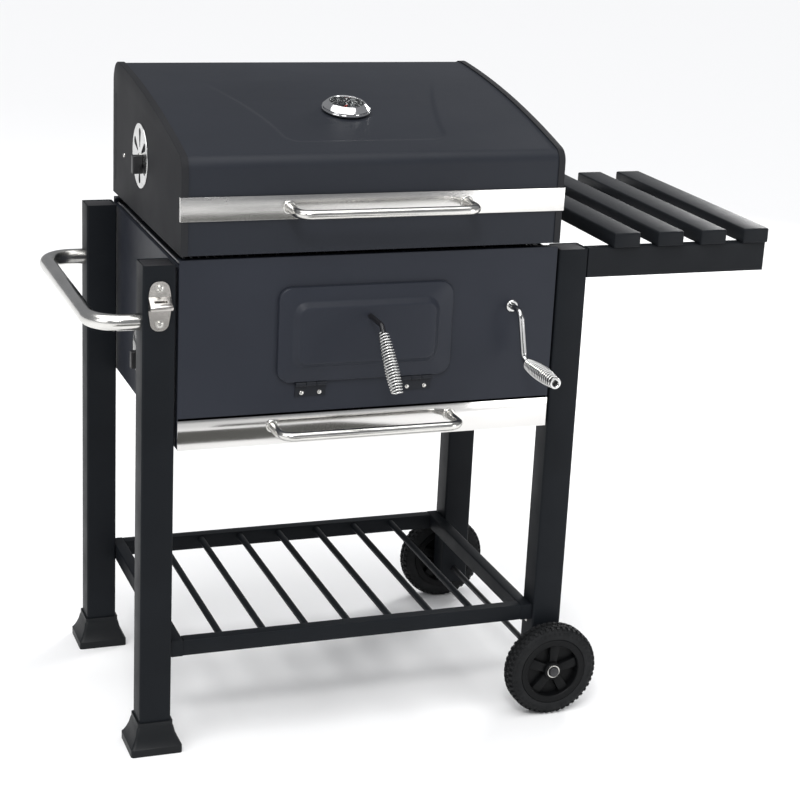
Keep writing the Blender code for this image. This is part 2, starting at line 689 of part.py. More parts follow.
def make_charcoal_pan():
    """Deep tray with air slots in its floor."""
    pan = open_tray("charcoal_pan", (PAN_LEFT, PAN_FRONT, PAN_Z), (PAN_RIGHT, PAN_BACK, PAN_Z + PAN_HEIGHT),
                    ENAMEL)
    pitch = (PAN_RIGHT - PAN_LEFT) / (PAN_SLOTS + 1)
    margin = 0.035
    for i in range(PAN_SLOTS):
        x = PAN_LEFT + (i + 1) * pitch
        boolean(pan, box(f"charcoal_pan_slot_{i + 1}", (x - PAN_SLOT / 2, PAN_FRONT + margin, PAN_Z - 0.01),
                         (x + PAN_SLOT / 2, PAN_BACK - margin, PAN_Z + 0.01), None, CUTTERS))
    return pan


def pinion_outline():
    """Straight-flanked teeth round the pitch circle, with one tooth pointing along +X."""
    loop = []
    for i in range(PINION_TEETH):
        middle = 2 * math.pi * i / PINION_TEETH
        root = PITCH_R - DEDENDUM
        tip = PITCH_R + ADDENDUM
        for radius, across in ((root, -TOOTH_ROOT), (tip, -TOOTH_TIP), (tip, TOOTH_TIP), (root, TOOTH_ROOT)):
            angle = middle + across / 2 / radius
            loop.append((radius * math.cos(angle), radius * math.sin(angle)))
    return loop


def rack_outline():
    """Vertical bar with teeth along +X; a tooth space faces the pinion's axis at the middle."""
    base = -DEDENDUM - RACK_BAR
    loop = [(base, RACK_ABOVE), (base, -RACK_BELOW), (-DEDENDUM, -RACK_BELOW)]
    for i in range(-int(RACK_BELOW / TOOTH_PITCH), int(RACK_ABOVE / TOOTH_PITCH)):
        middle = (i + 0.5) * TOOTH_PITCH
        loop += [(-DEDENDUM, middle - TOOTH_ROOT / 2), (ADDENDUM, middle - TOOTH_TIP / 2),
                 (ADDENDUM, middle + TOOTH_TIP / 2), (-DEDENDUM, middle + TOOTH_ROOT / 2)]
    return loop + [(-DEDENDUM, RACK_ABOVE)]


def make_lift():
    """Rack on the pan's front wall, driven by the pinion on the crank's shaft."""
    lift = pivot("charcoal_pan_pivot", (CX, CY, PAN_Z))
    pan = make_charcoal_pan()
    upright = (math.radians(90), 0, 0)
    rack_x = CRANK_AXIS_X - PITCH_R
    rack = flat_outline("lift_rack", [rack_outline()], PINION_WIDTH, ZINC, (rack_x, PINION_Y, CRANK_Z),
                        upright)
    arm_right = rack_x - DEDENDUM - RACK_BAR - GAP
    arm = box("lift_arm", (arm_right - 0.020, PINION_Y - PINION_WIDTH / 2, PAN_Z + 0.006),
              (arm_right, PAN_FRONT - GAP, PAN_Z + PAN_HEIGHT - 0.004), ZINC)
    carry(lift, pan, rack, arm)


make_lift()


# ---------------------------------------------------------------- crank
def make_crank():
    """Bent rod through the firebox front, with a coiled-wire grip and the pinion on its inner end."""
    hub = Vector((CRANK_AXIS_X, FRONT, CRANK_Z))
    turn = pivot("crank_pivot", hub)
    swing = math.radians(CRANK_REST_DEG)
    down = Vector((math.sin(swing), 0, -math.cos(swing)))
    out = Vector((0, -1, 0))
    inner = Vector((0, PINION_Y - FRONT + PINION_WIDTH / 2 + 0.006, 0))
    elbow = out * CRANK_STANDOFF
    wrist = elbow + down * CRANK_ARM
    tip = wrist + out * (CRANK_BEND + CRANK_GRIP_LENGTH - 0.004)
    rod = bent_rod("crank_rod", bent_path([inner, elbow, wrist, tip], CRANK_BEND), CRANK_ROD_R, CHROME)
    grip_start = wrist + out * CRANK_BEND
    half = CRANK_GRIP_LENGTH / 2
    bore = CRANK_ROD_R + GAP
    profile = [(bore, half), (0.62 * CRANK_GRIP_R, half), (0.90 * CRANK_GRIP_R, half * 0.5),
               (CRANK_GRIP_R, 0), (0.90 * CRANK_GRIP_R, -half * 0.5), (0.62 * CRANK_GRIP_R, -half), (bore, -half)]
    grip = turned("crank_grip", profile, CHROME, grip_start + out * half, (0, -1, 0), steps=16, closed=True)
    rod.parent = turn
    grip.parent = turn
    pinion = flat_outline("lift_pinion", [pinion_outline(), round_hole(CRANK_ROD_R + GAP)], PINION_WIDTH, ZINC,
                          (0, PINION_Y - FRONT, 0), (math.radians(90), 0, 0))
    pinion.parent = turn


def round_hole(radius, steps=12):
    return [(radius * math.cos(2 * math.pi * i / steps), radius * math.sin(2 * math.pi * i / steps))
            for i in range(steps)]


make_crank()
crank_bore = cylinder("crank_bore", (CRANK_AXIS_X, FRONT, CRANK_Z), CRANK_ROD_R + RUNNING, 0.02, (0, 1, 0),
                      None, CUTTERS, steps=12)
boolean(firebox_front, crank_bore)
bush_r = CRANK_ROD_R + RUNNING
turned("crank_bush", [(bush_r, GAP + 0.003), (0.0075, GAP + 0.003), (0.0100, GAP + 0.001), (0.0100, GAP),
                      (bush_r, GAP)], ZINC, (CRANK_AXIS_X, FRONT, CRANK_Z), (0, -1, 0), steps=16, closed=True)


# ---------------------------------------------------------------- fuel door
def rounded_frame(width, height, corner, steps=4):
    """Rectangle with round corners, as (x, z) points about its middle."""
    loop = []
    for k, (sx, sz) in enumerate(((1, 1), (-1, 1), (-1, -1), (1, -1))):
        middle = (sx * (width / 2 - corner), sz * (height / 2 - corner))
        for i in range(steps + 1):
            angle = math.radians(90 * k + 90 * i / steps)
            loop.append((middle[0] + corner * math.cos(angle), middle[1] + corner * math.sin(angle)))
    return loop


def make_fuel_door():
    """Pressed sheet door: turned-back rim, flat frame and a raised centre."""
    inner_width = DOOR_WIDTH - 2 * DOOR_MARGIN
    inner_height = DOOR_HEIGHT - 2 * DOOR_MARGIN
    rings = ((DOOR_WIDTH, DOOR_HEIGHT, DOOR_CORNER, 0),
             (DOOR_WIDTH, DOOR_HEIGHT, DOOR_CORNER, -DOOR_RIM),
             (inner_width, inner_height, DOOR_PANEL_CORNER, -DOOR_RIM),
             (inner_width - 2 * DOOR_SLOPE, inner_height - 2 * DOOR_SLOPE, DOOR_PANEL_CORNER - DOOR_SLOPE / 2,
              -DOOR_RIM - DOOR_RAISE))
    shape = bmesh.new()
    loops = [[shape.verts.new((x, y, z)) for x, z in rounded_frame(width, height, corner)]
             for width, height, corner, y in rings]
    for outer, inner in zip(loops, loops[1:]):
        for i in range(len(outer)):
            shape.faces.new((outer[i - 1], outer[i], inner[i], inner[i - 1]))
    shape.faces.new(loops[-1])
    door = mesh_object("fuel_door", shape, BLACK_COAT,
                       (DOOR_X, DOOR_BACK_Y, DOOR_BOTTOM + DOOR_HEIGHT / 2))
    solidify(door, SHEET)
    return door


def door_opening_cutter():
    """Round-cornered hole in the firebox front, behind the door."""
    loop = rounded_frame(DOOR_WIDTH - 2 * DOOR_LAP, DOOR_HEIGHT - 2 * DOOR_LAP, DOOR_CORNER - DOOR_LAP / 2,
                         steps=3)
    shape = bmesh.new()
    face = shape.faces.new([shape.verts.new((x, -0.01, z)) for x, z in loop])
    drawn = bmesh.ops.extrude_face_region(shape, geom=[face])["geom"]
    bmesh.ops.translate(shape, vec=(0, 0.02, 0), verts=[g for g in drawn if isinstance(g, bmesh.types.BMVert)])
    bmesh.ops.recalc_face_normals(shape, faces=shape.faces)
    return mesh_object("fuel_door_opening", shape, None,
                       (DOOR_X, FRONT, DOOR_BOTTOM + DOOR_HEIGHT / 2), CUTTERS)


def make_door_hinge(name, x):
    """Barrel with a leaf on the firebox front, below the door; the middle knuckle is the door's."""
    third = DOOR_HINGE_LENGTH / 3
    leaf_top = DOOR_AXIS_Z
    leaf = box(name, (x - DOOR_HINGE_LENGTH / 2, FRONT - GAP - 0.0012, leaf_top - DOOR_LEAF),
               (x + DOOR_HINGE_LENGTH / 2, FRONT - GAP, leaf_top - DOOR_BARREL_R - 0.0008), BLACK_COAT)
    for side in (-1, 1):
        knuckle_x = x + side * (third + GAP)
        size = third - 2 * GAP
        web = box(f"{name}_web_{side}", (knuckle_x - size / 2, FRONT - GAP - 0.0012, leaf_top - DOOR_LEAF / 2),
                  (knuckle_x + size / 2, FRONT - GAP, leaf_top), None, CUTTERS)
        knuckle = cylinder(f"{name}_knuckle_{side}", (knuckle_x, DOOR_AXIS_Y, DOOR_AXIS_Z), DOOR_BARREL_R, size,
                           (1, 0, 0), None, CUTTERS, steps=12)
        boolean(leaf, web, "UNION")
        boolean(leaf, knuckle, "UNION")
    pin = cylinder(f"{name}_pin", (x, DOOR_AXIS_Y, DOOR_AXIS_Z), DOOR_PIN_R, third * 2.4, (1, 0, 0),
                   None, CUTTERS, steps=12)
    boolean(leaf, pin, "UNION")
    return leaf


def make_door_knuckle(name, x, door):
    """The door's own knuckle, with a tab welded inside the door's face."""
    size = DOOR_HINGE_LENGTH / 3 - 2 * GAP
    knuckle = cylinder(name, (x, DOOR_AXIS_Y, DOOR_AXIS_Z), DOOR_BARREL_R, size, (1, 0, 0), BLACK_COAT, steps=12)
    face_y = DOOR_BACK_Y - DOOR_RIM + SHEET
    tab = box(name + "_tab", (x - size / 2, face_y + GAP, DOOR_AXIS_Z + DOOR_PIN_R + 2 * GAP),
              (x + size / 2, face_y + GAP + 0.0012, DOOR_BOTTOM + 0.014), None, CUTTERS)
    boolean(knuckle, tab, "UNION")
    boolean(knuckle, cylinder(name + "_bore", (x, DOOR_AXIS_Y, DOOR_AXIS_Z), DOOR_PIN_R + GAP, 0.03, (1, 0, 0),
                              None, CUTTERS, steps=12))
    notch = box(name + "_notch", (x - size / 2 - GAP, face_y, DOOR_BOTTOM - 0.01),
                (x + size / 2 + GAP, FRONT, DOOR_BOTTOM + SHEET + GAP), None, CUTTERS)
    boolean(door, notch)
    return knuckle


def make_latch():
    """Rod through the door with a coiled-wire grip outside and a short tongue inside."""
    face_y = DOOR_BACK_Y - DOOR_RIM - DOOR_RAISE
    axis = Vector((LATCH_AXIS_X, face_y, LATCH_AXIS_Z))
    turn = pivot("door_latch_pivot", axis)
    lean = Vector((GRIP_TWIST, -GRIP_LEAN, -1.0)).normalized()
    elbow = Vector((0, -LATCH_REACH, 0))
    inner = Vector((0, DOOR_RIM + DOOR_RAISE, 0))
    start = elbow + lean * HANDLE_ROD_BEND
    tip = start + lean * (GRIP_LENGTH - 0.004)
    rod = bent_rod("door_handle_rod", bent_path([inner, elbow, tip], HANDLE_ROD_BEND), HANDLE_ROD_R, ZINC)
    half = GRIP_LENGTH / 2
    bore = HANDLE_ROD_R + GAP
    profile = [(bore, half), (0.55 * DOOR_GRIP_R, half), (0.88 * DOOR_GRIP_R, half * 0.4),
               (DOOR_GRIP_R, -half * 0.2), (0.75 * DOOR_GRIP_R, -half), (bore, -half)]
    grip = turned("door_handle_grip", profile, CHROME, start + lean * half, -lean, steps=16, closed=True)
    tongue_y = DOOR_BACK_Y - DOOR_RIM + SHEET + 2 * GAP
    tongue = box("door_latch_tongue", (LATCH_AXIS_X - 0.008, tongue_y, LATCH_AXIS_Z - 0.010),
                 (LATCH_AXIS_X + 0.008, tongue_y + 0.003, LATCH_AXIS_Z + TONGUE), ZINC)
    boolean(tongue, cylinder("door_latch_tongue_bore", axis, bore, 0.04, (0, 1, 0), None, CUTTERS, steps=12))
    rod.parent = turn
    grip.parent = turn
    carry(turn, tongue)
    boolean(fuel_door, cylinder("fuel_door_latch_bore", axis, HANDLE_ROD_R + RUNNING, 0.01, (0, 1, 0), None,
                                CUTTERS, steps=12))
    return turn


door_swing = pivot("fuel_door_pivot", Vector((DOOR_X, DOOR_AXIS_Y, DOOR_AXIS_Z)))
fuel_door = make_fuel_door()
boolean(firebox_front, door_opening_cutter())
carry(door_swing, fuel_door)
for side, sign in (("left", -1), ("right", 1)):
    hinge_x = DOOR_X + sign * DOOR_HINGE_SPREAD
    make_door_hinge(f"door_hinge_{side}", hinge_x)
    carry(door_swing, make_door_knuckle(f"door_knuckle_{side}", hinge_x, fuel_door))
carry(door_swing, make_latch())


# ---------------------------------------------------------------- lid
def arc(middle, radius, start_deg, end_deg, steps):
    turn = math.radians(end_deg - start_deg)
    first = math.radians(start_deg)
    return [(middle[0] + radius * math.cos(first + turn * i / steps),
             middle[1] + radius * math.sin(first + turn * i / steps)) for i in range(steps + 1)]


def lid_roof():
    """Middle of the roof's large arc, tangent to both corner arcs, as (y, z), and its end angles."""
    front = Vector((LID_FRONT + LID_FRONT_R, LID_FRONT_CENTRE_Z))
    back = Vector((LID_BACK - LID_BACK_R, LID_TOP - LID_BACK_R))
    reach_front = LID_ROOF_R - LID_FRONT_R
    reach_back = LID_ROOF_R - LID_BACK_R
    chord = back - front
    along = (reach_front ** 2 - reach_back ** 2 + chord.length ** 2) / (2 * chord.length)
    drop = math.sqrt(reach_front ** 2 - along ** 2)
    direction = chord.normalized()
    middle = front + direction * along - Vector((-direction.y, direction.x)) * drop
    angle_front = math.degrees(math.atan2(front.y - middle.y, front.x - middle.x))
    angle_back = math.degrees(math.atan2(back.y - middle.y, back.x - middle.x))
    return front, back, middle, angle_front, angle_back


def lid_profile(inset):
    """Front, roof and back of the lid from front bottom to back bottom, moved in by inset."""
    front, back, middle, angle_front, angle_back = lid_roof()
    points = [(LID_FRONT + inset, LID_BOTTOM)]
    points += arc(front, LID_FRONT_R - inset, 180, angle_front, 4)
    points += arc(middle, LID_ROOF_R - inset, angle_front, angle_back, 8)[1:-1]
    points += arc(back, LID_BACK_R - inset, angle_back, 0, 5)
    points.append((LID_BACK - inset, LID_BOTTOM))
    return points


def roof_height(y):
    """Height of the lid sheet's outer face at a place on the roof."""
    _, _, middle, _, _ = lid_roof()
    return middle.y + math.sqrt((LID_ROOF_R - LID_INSET) ** 2 - (y - middle.x) ** 2)


def roof_normal(y):
    _, _, middle, _, _ = lid_roof()
    return Vector((0, y - middle.x, roof_height(y) - middle.y)).normalized()


LID_INSET = SHEET + GAP
LID_LEFT = BOX_LEFT
LID_RIGHT = BOX_RIGHT


def make_lid_sheet():
    """One sheet folded over front, roof and back."""
    inner_left = LID_LEFT + SHEET + GAP
    inner_right = LID_RIGHT - SHEET - GAP
    section = [(inner_left, y, z) for y, z in lid_profile(LID_INSET)]
    return folded_sheet("lid_sheet", section, (inner_right - inner_left, 0, 0), BLACK_COAT)


def make_lid_cap(name, x, inward):
    """Pressed end cap whose flange wraps over the lid sheet's edge."""
    shape = bmesh.new()
    loop = [shape.verts.new((0, y, z)) for y, z in lid_profile(0)]
    edges = [shape.edges.new(pair) for pair in zip(loop, loop[1:])]
    shape.faces.new(loop)
    drawn = bmesh.ops.extrude_edge_only(shape, edges=edges)["geom"]
    moved = [g for g in drawn if isinstance(g, bmesh.types.BMVert)]
    bmesh.ops.translate(shape, vec=(inward * (LID_FLANGE + SHEET), 0, 0), verts=moved)
    bmesh.ops.recalc_face_normals(shape, faces=shape.faces)
    cap_face = max(shape.faces, key=lambda f: len(f.verts))
    if cap_face.normal.x * inward > 0:
        bmesh.ops.reverse_faces(shape, faces=shape.faces)
    cap = mesh_object(name, shape, BLACK_COAT, (x, 0, 0))
    solidify(cap, SHEET)
    return cap


def make_lid_trim():
    """Stainless strip across the lid's front, wrapped round both end caps."""
    y = LID_FRONT - GAP
    wrap = y + LID_TRIM_WRAP
    left = LID_LEFT - GAP
    right = LID_RIGHT + GAP
    section = [(left, wrap, LID_TRIM_BOTTOM), (left, y, LID_TRIM_BOTTOM), (right, y, LID_TRIM_BOTTOM),
               (right, wrap, LID_TRIM_BOTTOM)]
    return folded_sheet("lid_trim", section, (0, 0, LID_TRIM_HEIGHT), STAINLESS, thickness=STRIP)


def make_thermometer(swing):
    """Round dial gauge on the roof: a cup with a raised bezel, and a needle that turns in it."""
    y = CY + THERMOMETER_Y
    normal = roof_normal(y)
    foot = Vector((CX, y, roof_height(y)))
    stem_r = 0.005
    stem = 0.030
    floor = 0.006
    rise = THERMOMETER_HEIGHT
    base = (0.85 * THERMOMETER_R) ** 2 / (2 * LID_ROOF_R) + GAP
    profile = [(0, floor), (THERMOMETER_R - 0.006, floor), (THERMOMETER_R - 0.005, rise),
               (THERMOMETER_R - 0.002, rise), (THERMOMETER_R, rise - 0.004), (0.85 * THERMOMETER_R, base),
               (stem_r, base), (stem_r, -stem), (0, -stem)]
    case = turned("thermometer_case", profile, CHROME, foot, normal, steps=ROUND_STEPS)
    boolean(lid_sheet, cylinder("thermometer_bore", foot, stem_r + RUNNING, 0.02, normal, None, CUTTERS,
                                steps=12))
    across = Vector((1, 0, 0))
    up = normal.cross(across)
    turn = pivot("thermometer_needle_pivot", foot + normal * (floor + GAP + 0.0006))
    needle_shape = box_shape((0.0016, NEEDLE_LENGTH * 0.62, 0.0008))
    tip = [v for v in needle_shape.verts if v.co.y > 0]
    bmesh.ops.scale(needle_shape, vec=(0.4, 1, 1), verts=tip)
    bmesh.ops.translate(needle_shape, vec=(0, NEEDLE_LENGTH * 0.19, 0), verts=needle_shape.verts)
    needle = mesh_object("thermometer_needle", needle_shape, PLASTIC)
    start = Matrix.Rotation(math.radians(NEEDLE_REST_DEG), 3, "Z")
    basis = Matrix((across, up, normal)).transposed() @ start
    needle.rotation_euler = basis.to_euler()
    needle.parent = turn
    carry(swing, case)
    carry(swing, turn)


def make_lid_hinge(name, x, swing):
    """Butt hinge behind the lid: base leaf with two knuckles and the pin, lid leaf with one."""
    third = LID_HINGE_WIDTH / 3
    size = third - 2 * GAP
    low = LID_AXIS_Z - LID_BARREL_R
    base = box(f"lid_hinge_base_{name}", (x - LID_HINGE_WIDTH / 2, BACK + GAP, low - LID_LEAF_HEIGHT),
               (x + LID_HINGE_WIDTH / 2, BACK + GAP + LID_LEAF, low - 0.001), ZINC)
    arm = box(f"lid_hinge_base_{name}_arm", (x - LID_HINGE_WIDTH / 2, BACK + GAP, low - 0.006),
              (x + LID_HINGE_WIDTH / 2, LID_AXIS_Y + 0.001, low - 0.001), None, CUTTERS)
    boolean(base, arm, "UNION")
    for side in (-1, 1):
        knuckle_x = x + side * third
        post = box(f"lid_hinge_base_{name}_post_{side}", (knuckle_x - size / 2, LID_AXIS_Y - 0.001, low - 0.003),
                   (knuckle_x + size / 2, LID_AXIS_Y + 0.001, LID_AXIS_Z), None, CUTTERS)
        knuckle = cylinder(f"lid_hinge_base_{name}_knuckle_{side}", (knuckle_x, LID_AXIS_Y, LID_AXIS_Z),
                           LID_BARREL_R, size, (1, 0, 0), None, CUTTERS, steps=16)
        boolean(base, post, "UNION")
        boolean(base, knuckle, "UNION")
    pin = cylinder(f"lid_hinge_base_{name}_pin", (x, LID_AXIS_Y, LID_AXIS_Z), LID_PIN_R, third * 2.4, (1, 0, 0),
                   None, CUTTERS, steps=12)
    boolean(base, pin, "UNION")

    leaf = box(f"lid_hinge_leaf_{name}", (x - size / 2, LID_BACK - LID_INSET + GAP, LID_BOTTOM + GAP),
               (x + size / 2, LID_BACK - LID_INSET + GAP + LID_LEAF, LID_BOTTOM + LID_LEAF_HEIGHT), ZINC)
    tab = box(f"lid_hinge_leaf_{name}_tab",
              (x - size / 2, LID_BACK - LID_INSET + GAP + 0.0002, LID_AXIS_Z + 0.0008),
              (x + size / 2, LID_AXIS_Y - 0.001, LID_BOTTOM + 0.004), None, CUTTERS)
    knuckle = cylinder(f"lid_hinge_leaf_{name}_knuckle", (x, LID_AXIS_Y, LID_AXIS_Z), LID_BARREL_R, size,
                       (1, 0, 0), None, CUTTERS, steps=16)
    boolean(leaf, tab, "UNION")
    boolean(leaf, knuckle, "UNION")
    boolean(leaf, cylinder(f"lid_hinge_leaf_{name}_bore", (x, LID_AXIS_Y, LID_AXIS_Z), LID_PIN_R + GAP, 0.1,
                           (1, 0, 0), None, CUTTERS, steps=12))
    carry(swing, leaf)


lid_swing = pivot("lid_pivot", Vector((CX, LID_AXIS_Y, LID_AXIS_Z)))
lid_sheet = make_lid_sheet()
lid_cap_left = make_lid_cap("lid_cap_left", LID_LEFT, 1)
lid_cap_right = make_lid_cap("lid_cap_right", LID_RIGHT, -1)
lid_handle = make_pull("lid_handle", CX, LID_FRONT - GAP - STRIP, LID_HANDLE_Z, LID_HANDLE_SPAN,
                       LID_HANDLE_REACH)
carry(lid_swing, lid_sheet, lid_cap_left, lid_cap_right, make_lid_trim(), lid_handle)
make_thermometer(lid_swing)
for side, sign in (("left", -1), ("right", 1)):
    make_lid_hinge(side, CX + sign * LID_HINGE_SPREAD, lid_swing)
carry(lid_swing, make_vent("lid_vent_left", lid_cap_left, LID_LEFT, -1, LID_VENT_Z, VENT_R, VENT_HOLE_CIRCLE,
                           VENT_HOLE_R))
carry(lid_swing, make_vent("lid_vent_right", lid_cap_right, LID_RIGHT, 1, LID_VENT_Z, VENT_R, VENT_HOLE_CIRCLE,
                           VENT_HOLE_R))

# ---------------------------------------------------------------- push handle and bottle opener
PUSH_HALF = (LEG_SPAN_Y - LEG_Y) / 2
push_corners = [(-GAP, -PUSH_HALF, 0), (PUSH_R - PUSH_REACH, -PUSH_HALF, 0), (PUSH_R - PUSH_REACH, PUSH_HALF, 0),
                (-GAP, PUSH_HALF, 0)]
bent_rod("push_handle", bent_path(push_corners, PUSH_BEND, 6), PUSH_R, STAINLESS, (LEFT, CY, PUSH_Z))


def make_bottle_opener():
    """Bent plate on the front left leg, with a lip that hooks under a bottle cap."""
    x = LEFT + (LEG_X - OPENER_WIDTH) / 2
    half = OPENER_HEIGHT / 2
    y = FRONT - GAP
    z = OPENER_Z
    section = [(x, y, z + half), (x, y, z + 0.006), (x, y - OPENER_LIP, z + 0.001), (x, y, z - 0.006),
               (x, y, z - half)]
    return folded_sheet("bottle_opener", section, (OPENER_WIDTH, 0, 0), STAINLESS, thickness=OPENER_SHEET)


make_bottle_opener()


# ---------------------------------------------------------------- side table
def make_table():
    """Two rails bolted to the right legs, carrying pressed slats that run front to back."""
    for along, y in (("front", FRONT), ("back", BACK - TABLE_RAIL)):
        tube_bar(f"table_{along}_rail", (RIGHT + GAP, y, TABLE_RAIL_BOTTOM),
                 (RIGHT + TABLE_REACH, y + TABLE_RAIL, TABLE_RAIL_TOP), 0, FRAME_COAT)
    pitch = (TABLE_REACH - SLAT_LEG_GAP - SLAT_WIDTH) / (SLATS - 1)
    for i in range(SLATS):
        x = RIGHT + SLAT_LEG_GAP + i * pitch
        low = Vector((x, CY - SLAT_LENGTH / 2, TABLE_RAIL_TOP + GAP))
        shape = box_shape((SLAT_WIDTH, SLAT_LENGTH, SLAT_HEIGHT))
        under = [f for f in shape.faces if f.normal.z < -0.9]
        bmesh.ops.delete(shape, geom=under, context="FACES_ONLY")
        middle = low + Vector((SLAT_WIDTH, SLAT_LENGTH, SLAT_HEIGHT)) / 2
        solidify(mesh_object(f"table_slat_{i + 1}", shape, FRAME_COAT, middle), SHEET)


make_table()
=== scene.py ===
"""Charcoal trolley grill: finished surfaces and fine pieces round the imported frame."""

import json
import math

import bmesh
import bpy
from mathutils import Matrix, Vector


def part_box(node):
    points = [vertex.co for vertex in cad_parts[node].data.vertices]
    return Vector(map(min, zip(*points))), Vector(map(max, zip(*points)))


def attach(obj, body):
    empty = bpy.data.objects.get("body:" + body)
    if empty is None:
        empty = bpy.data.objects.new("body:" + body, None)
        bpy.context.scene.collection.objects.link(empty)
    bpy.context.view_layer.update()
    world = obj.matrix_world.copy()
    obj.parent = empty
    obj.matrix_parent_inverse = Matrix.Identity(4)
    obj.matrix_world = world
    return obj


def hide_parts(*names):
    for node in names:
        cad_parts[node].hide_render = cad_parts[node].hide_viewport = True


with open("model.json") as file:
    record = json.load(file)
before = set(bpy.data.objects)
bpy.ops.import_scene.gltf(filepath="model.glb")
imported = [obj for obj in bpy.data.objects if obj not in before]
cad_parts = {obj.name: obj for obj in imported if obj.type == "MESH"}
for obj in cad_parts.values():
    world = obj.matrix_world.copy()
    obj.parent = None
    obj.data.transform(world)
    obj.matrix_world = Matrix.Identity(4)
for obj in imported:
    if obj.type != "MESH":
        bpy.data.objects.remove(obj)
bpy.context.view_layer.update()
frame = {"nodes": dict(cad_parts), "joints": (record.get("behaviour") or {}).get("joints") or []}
joint_place = {j["name"]: Vector(j["pos_m"]) for j in frame["joints"] if "pos_m" in j}

# ---------------------------------------------------------------- studio
# A pale floor, a camera a little above the lid and to the left of the grill, and soft light: a
# key lamp over the left shoulder, a box lamp on each side, one behind on the right and a wide
# sun that lifts the floor.
def placed(name, data):
    """Links a new object that holds the data, at the origin."""
    made = bpy.data.objects.new(name, data)
    bpy.context.scene.collection.objects.link(made)
    return made


def flat_board(name, place, half_size, tone, roughness):
    """Level painted rectangle for the studio, which isn't part of the grill."""
    shape = bmesh.new()
    bmesh.ops.create_grid(shape, x_segments=1, y_segments=1, size=1)
    bmesh.ops.scale(shape, vec=(*half_size, 1), verts=shape.verts)
    bmesh.ops.translate(shape, vec=place, verts=shape.verts)
    mesh = bpy.data.meshes.new(name)
    shape.to_mesh(mesh)
    shape.free()
    paint = bpy.data.materials.new(name + "_paint")
    paint.use_nodes = True
    shader = paint.node_tree.nodes["Principled BSDF"]
    shader.inputs["Base Color"].default_value = (*tone, 1)
    shader.inputs["Roughness"].default_value = roughness
    mesh.materials.append(paint)
    return placed(name, mesh)


camera_place = (-1.077, -2.843, 1.457)
camera_heading, camera_dip, camera_roll = math.radians(-20.76), math.radians(17.68), math.radians(2.85)
camera_data = bpy.data.cameras.new("camera")
camera_data.sensor_width = 36
camera_data.lens = 88.38
camera_data.clip_end = 200
camera = placed("camera", camera_data)
camera.matrix_world = (Matrix.Translation(camera_place)
                       @ Matrix.Rotation(camera_heading, 4, "Z")
                       @ Matrix.Rotation(math.radians(90) - camera_dip, 4, "X")
                       @ Matrix.Rotation(camera_roll, 4, "Z"))
bpy.context.scene.camera = camera

floor = flat_board("floor", (0, 0, 0), (60, 60), (0.86, 0.86, 0.86), 0.9)

world = bpy.data.worlds.new("studio")
bpy.context.scene.world = world
world.use_nodes = True
backdrop = world.node_tree.nodes["Background"]
backdrop.inputs["Color"].default_value = (0.93, 0.95, 1.0, 1)
backdrop.inputs["Strength"].default_value = 0.28
bpy.context.scene.view_settings.view_transform = "Standard"


def soft_lamp(name, place, target, size, power):
    """Rectangular lamp at a place, turned to shine on a target."""
    lamp_data = bpy.data.lights.new(name, "AREA")
    lamp_data.shape = "RECTANGLE"
    lamp_data.size, lamp_data.size_y = size
    lamp_data.energy = power
    lamp = placed(name, lamp_data)
    lamp.location = place
    lamp.rotation_euler = (Vector(target) - Vector(place)).to_track_quat("-Z", "Y").to_euler()


soft_lamp("front_key", (-1.1, -2.5, 2.9), (-0.1, 0.0, 0.7), (0.7, 0.7), 42)
soft_lamp("left_softbox", (-3.0, -1.6, 2.0), (-0.2, 0.0, 0.6), (1.8, 1.8), 20)
soft_lamp("right_softbox", (1.9, -2.2, 0.9), (0.0, 0.0, 0.6), (0.8, 1.4), 14)
soft_lamp("back_right_softbox", (2.7, 2.1, 1.9), (0.2, 0.1, 0.9), (1.2, 1.2), 75)
floor_light_data = bpy.data.lights.new("even_floor_light", "SUN")
floor_light_data.energy = 2.75
floor_light_data.angle = math.radians(70)
floor_light = placed("even_floor_light", floor_light_data)
floor_light.rotation_euler = (math.radians(10), math.radians(-8), 0)

# Two dark boards lie on the floor in front, hidden from the camera, and give the bright metal
# its dark reflections.
board_z = 0.003
for name, place, half_size in (("near_board", (-0.25, -1.75, board_z), (0.68, 0.75)),
                               ("far_board", (-0.05, -4.2, board_z), (0.45, 0.8))):
    board = flat_board(name, place, half_size, (0.05, 0.05, 0.045), 0.8)
    board.visible_camera = board.visible_diffuse = board.visible_shadow = False


# ---------------------------------------------------------------- steel legs
# Square steel tube, powder coated near black, with a recessed plastic plug in each open top.
# The firebox and the shelf are screwed between them.
def graded_noise(nodes, links, scale, low, high, stretch=(1, 1, 1), detail=3.0):
    """Noise on the piece's own coordinates, mapped to run from low to high."""
    place = nodes.new("ShaderNodeTexCoord")
    mapping = nodes.new("ShaderNodeMapping")
    mapping.inputs["Scale"].default_value = stretch
    links.new(place.outputs["Object"], mapping.inputs["Vector"])
    noise = nodes.new("ShaderNodeTexNoise")
    noise.inputs["Scale"].default_value = scale
    noise.inputs["Detail"].default_value = detail
    links.new(mapping.outputs["Vector"], noise.inputs["Vector"])
    span = nodes.new("ShaderNodeMapRange")
    span.inputs["From Min"].default_value = 0.3
    span.inputs["From Max"].default_value = 0.7
    span.inputs["To Min"].default_value = low
    span.inputs["To Max"].default_value = high
    links.new(noise.outputs["Fac"], span.inputs["Value"])
    return noise, span


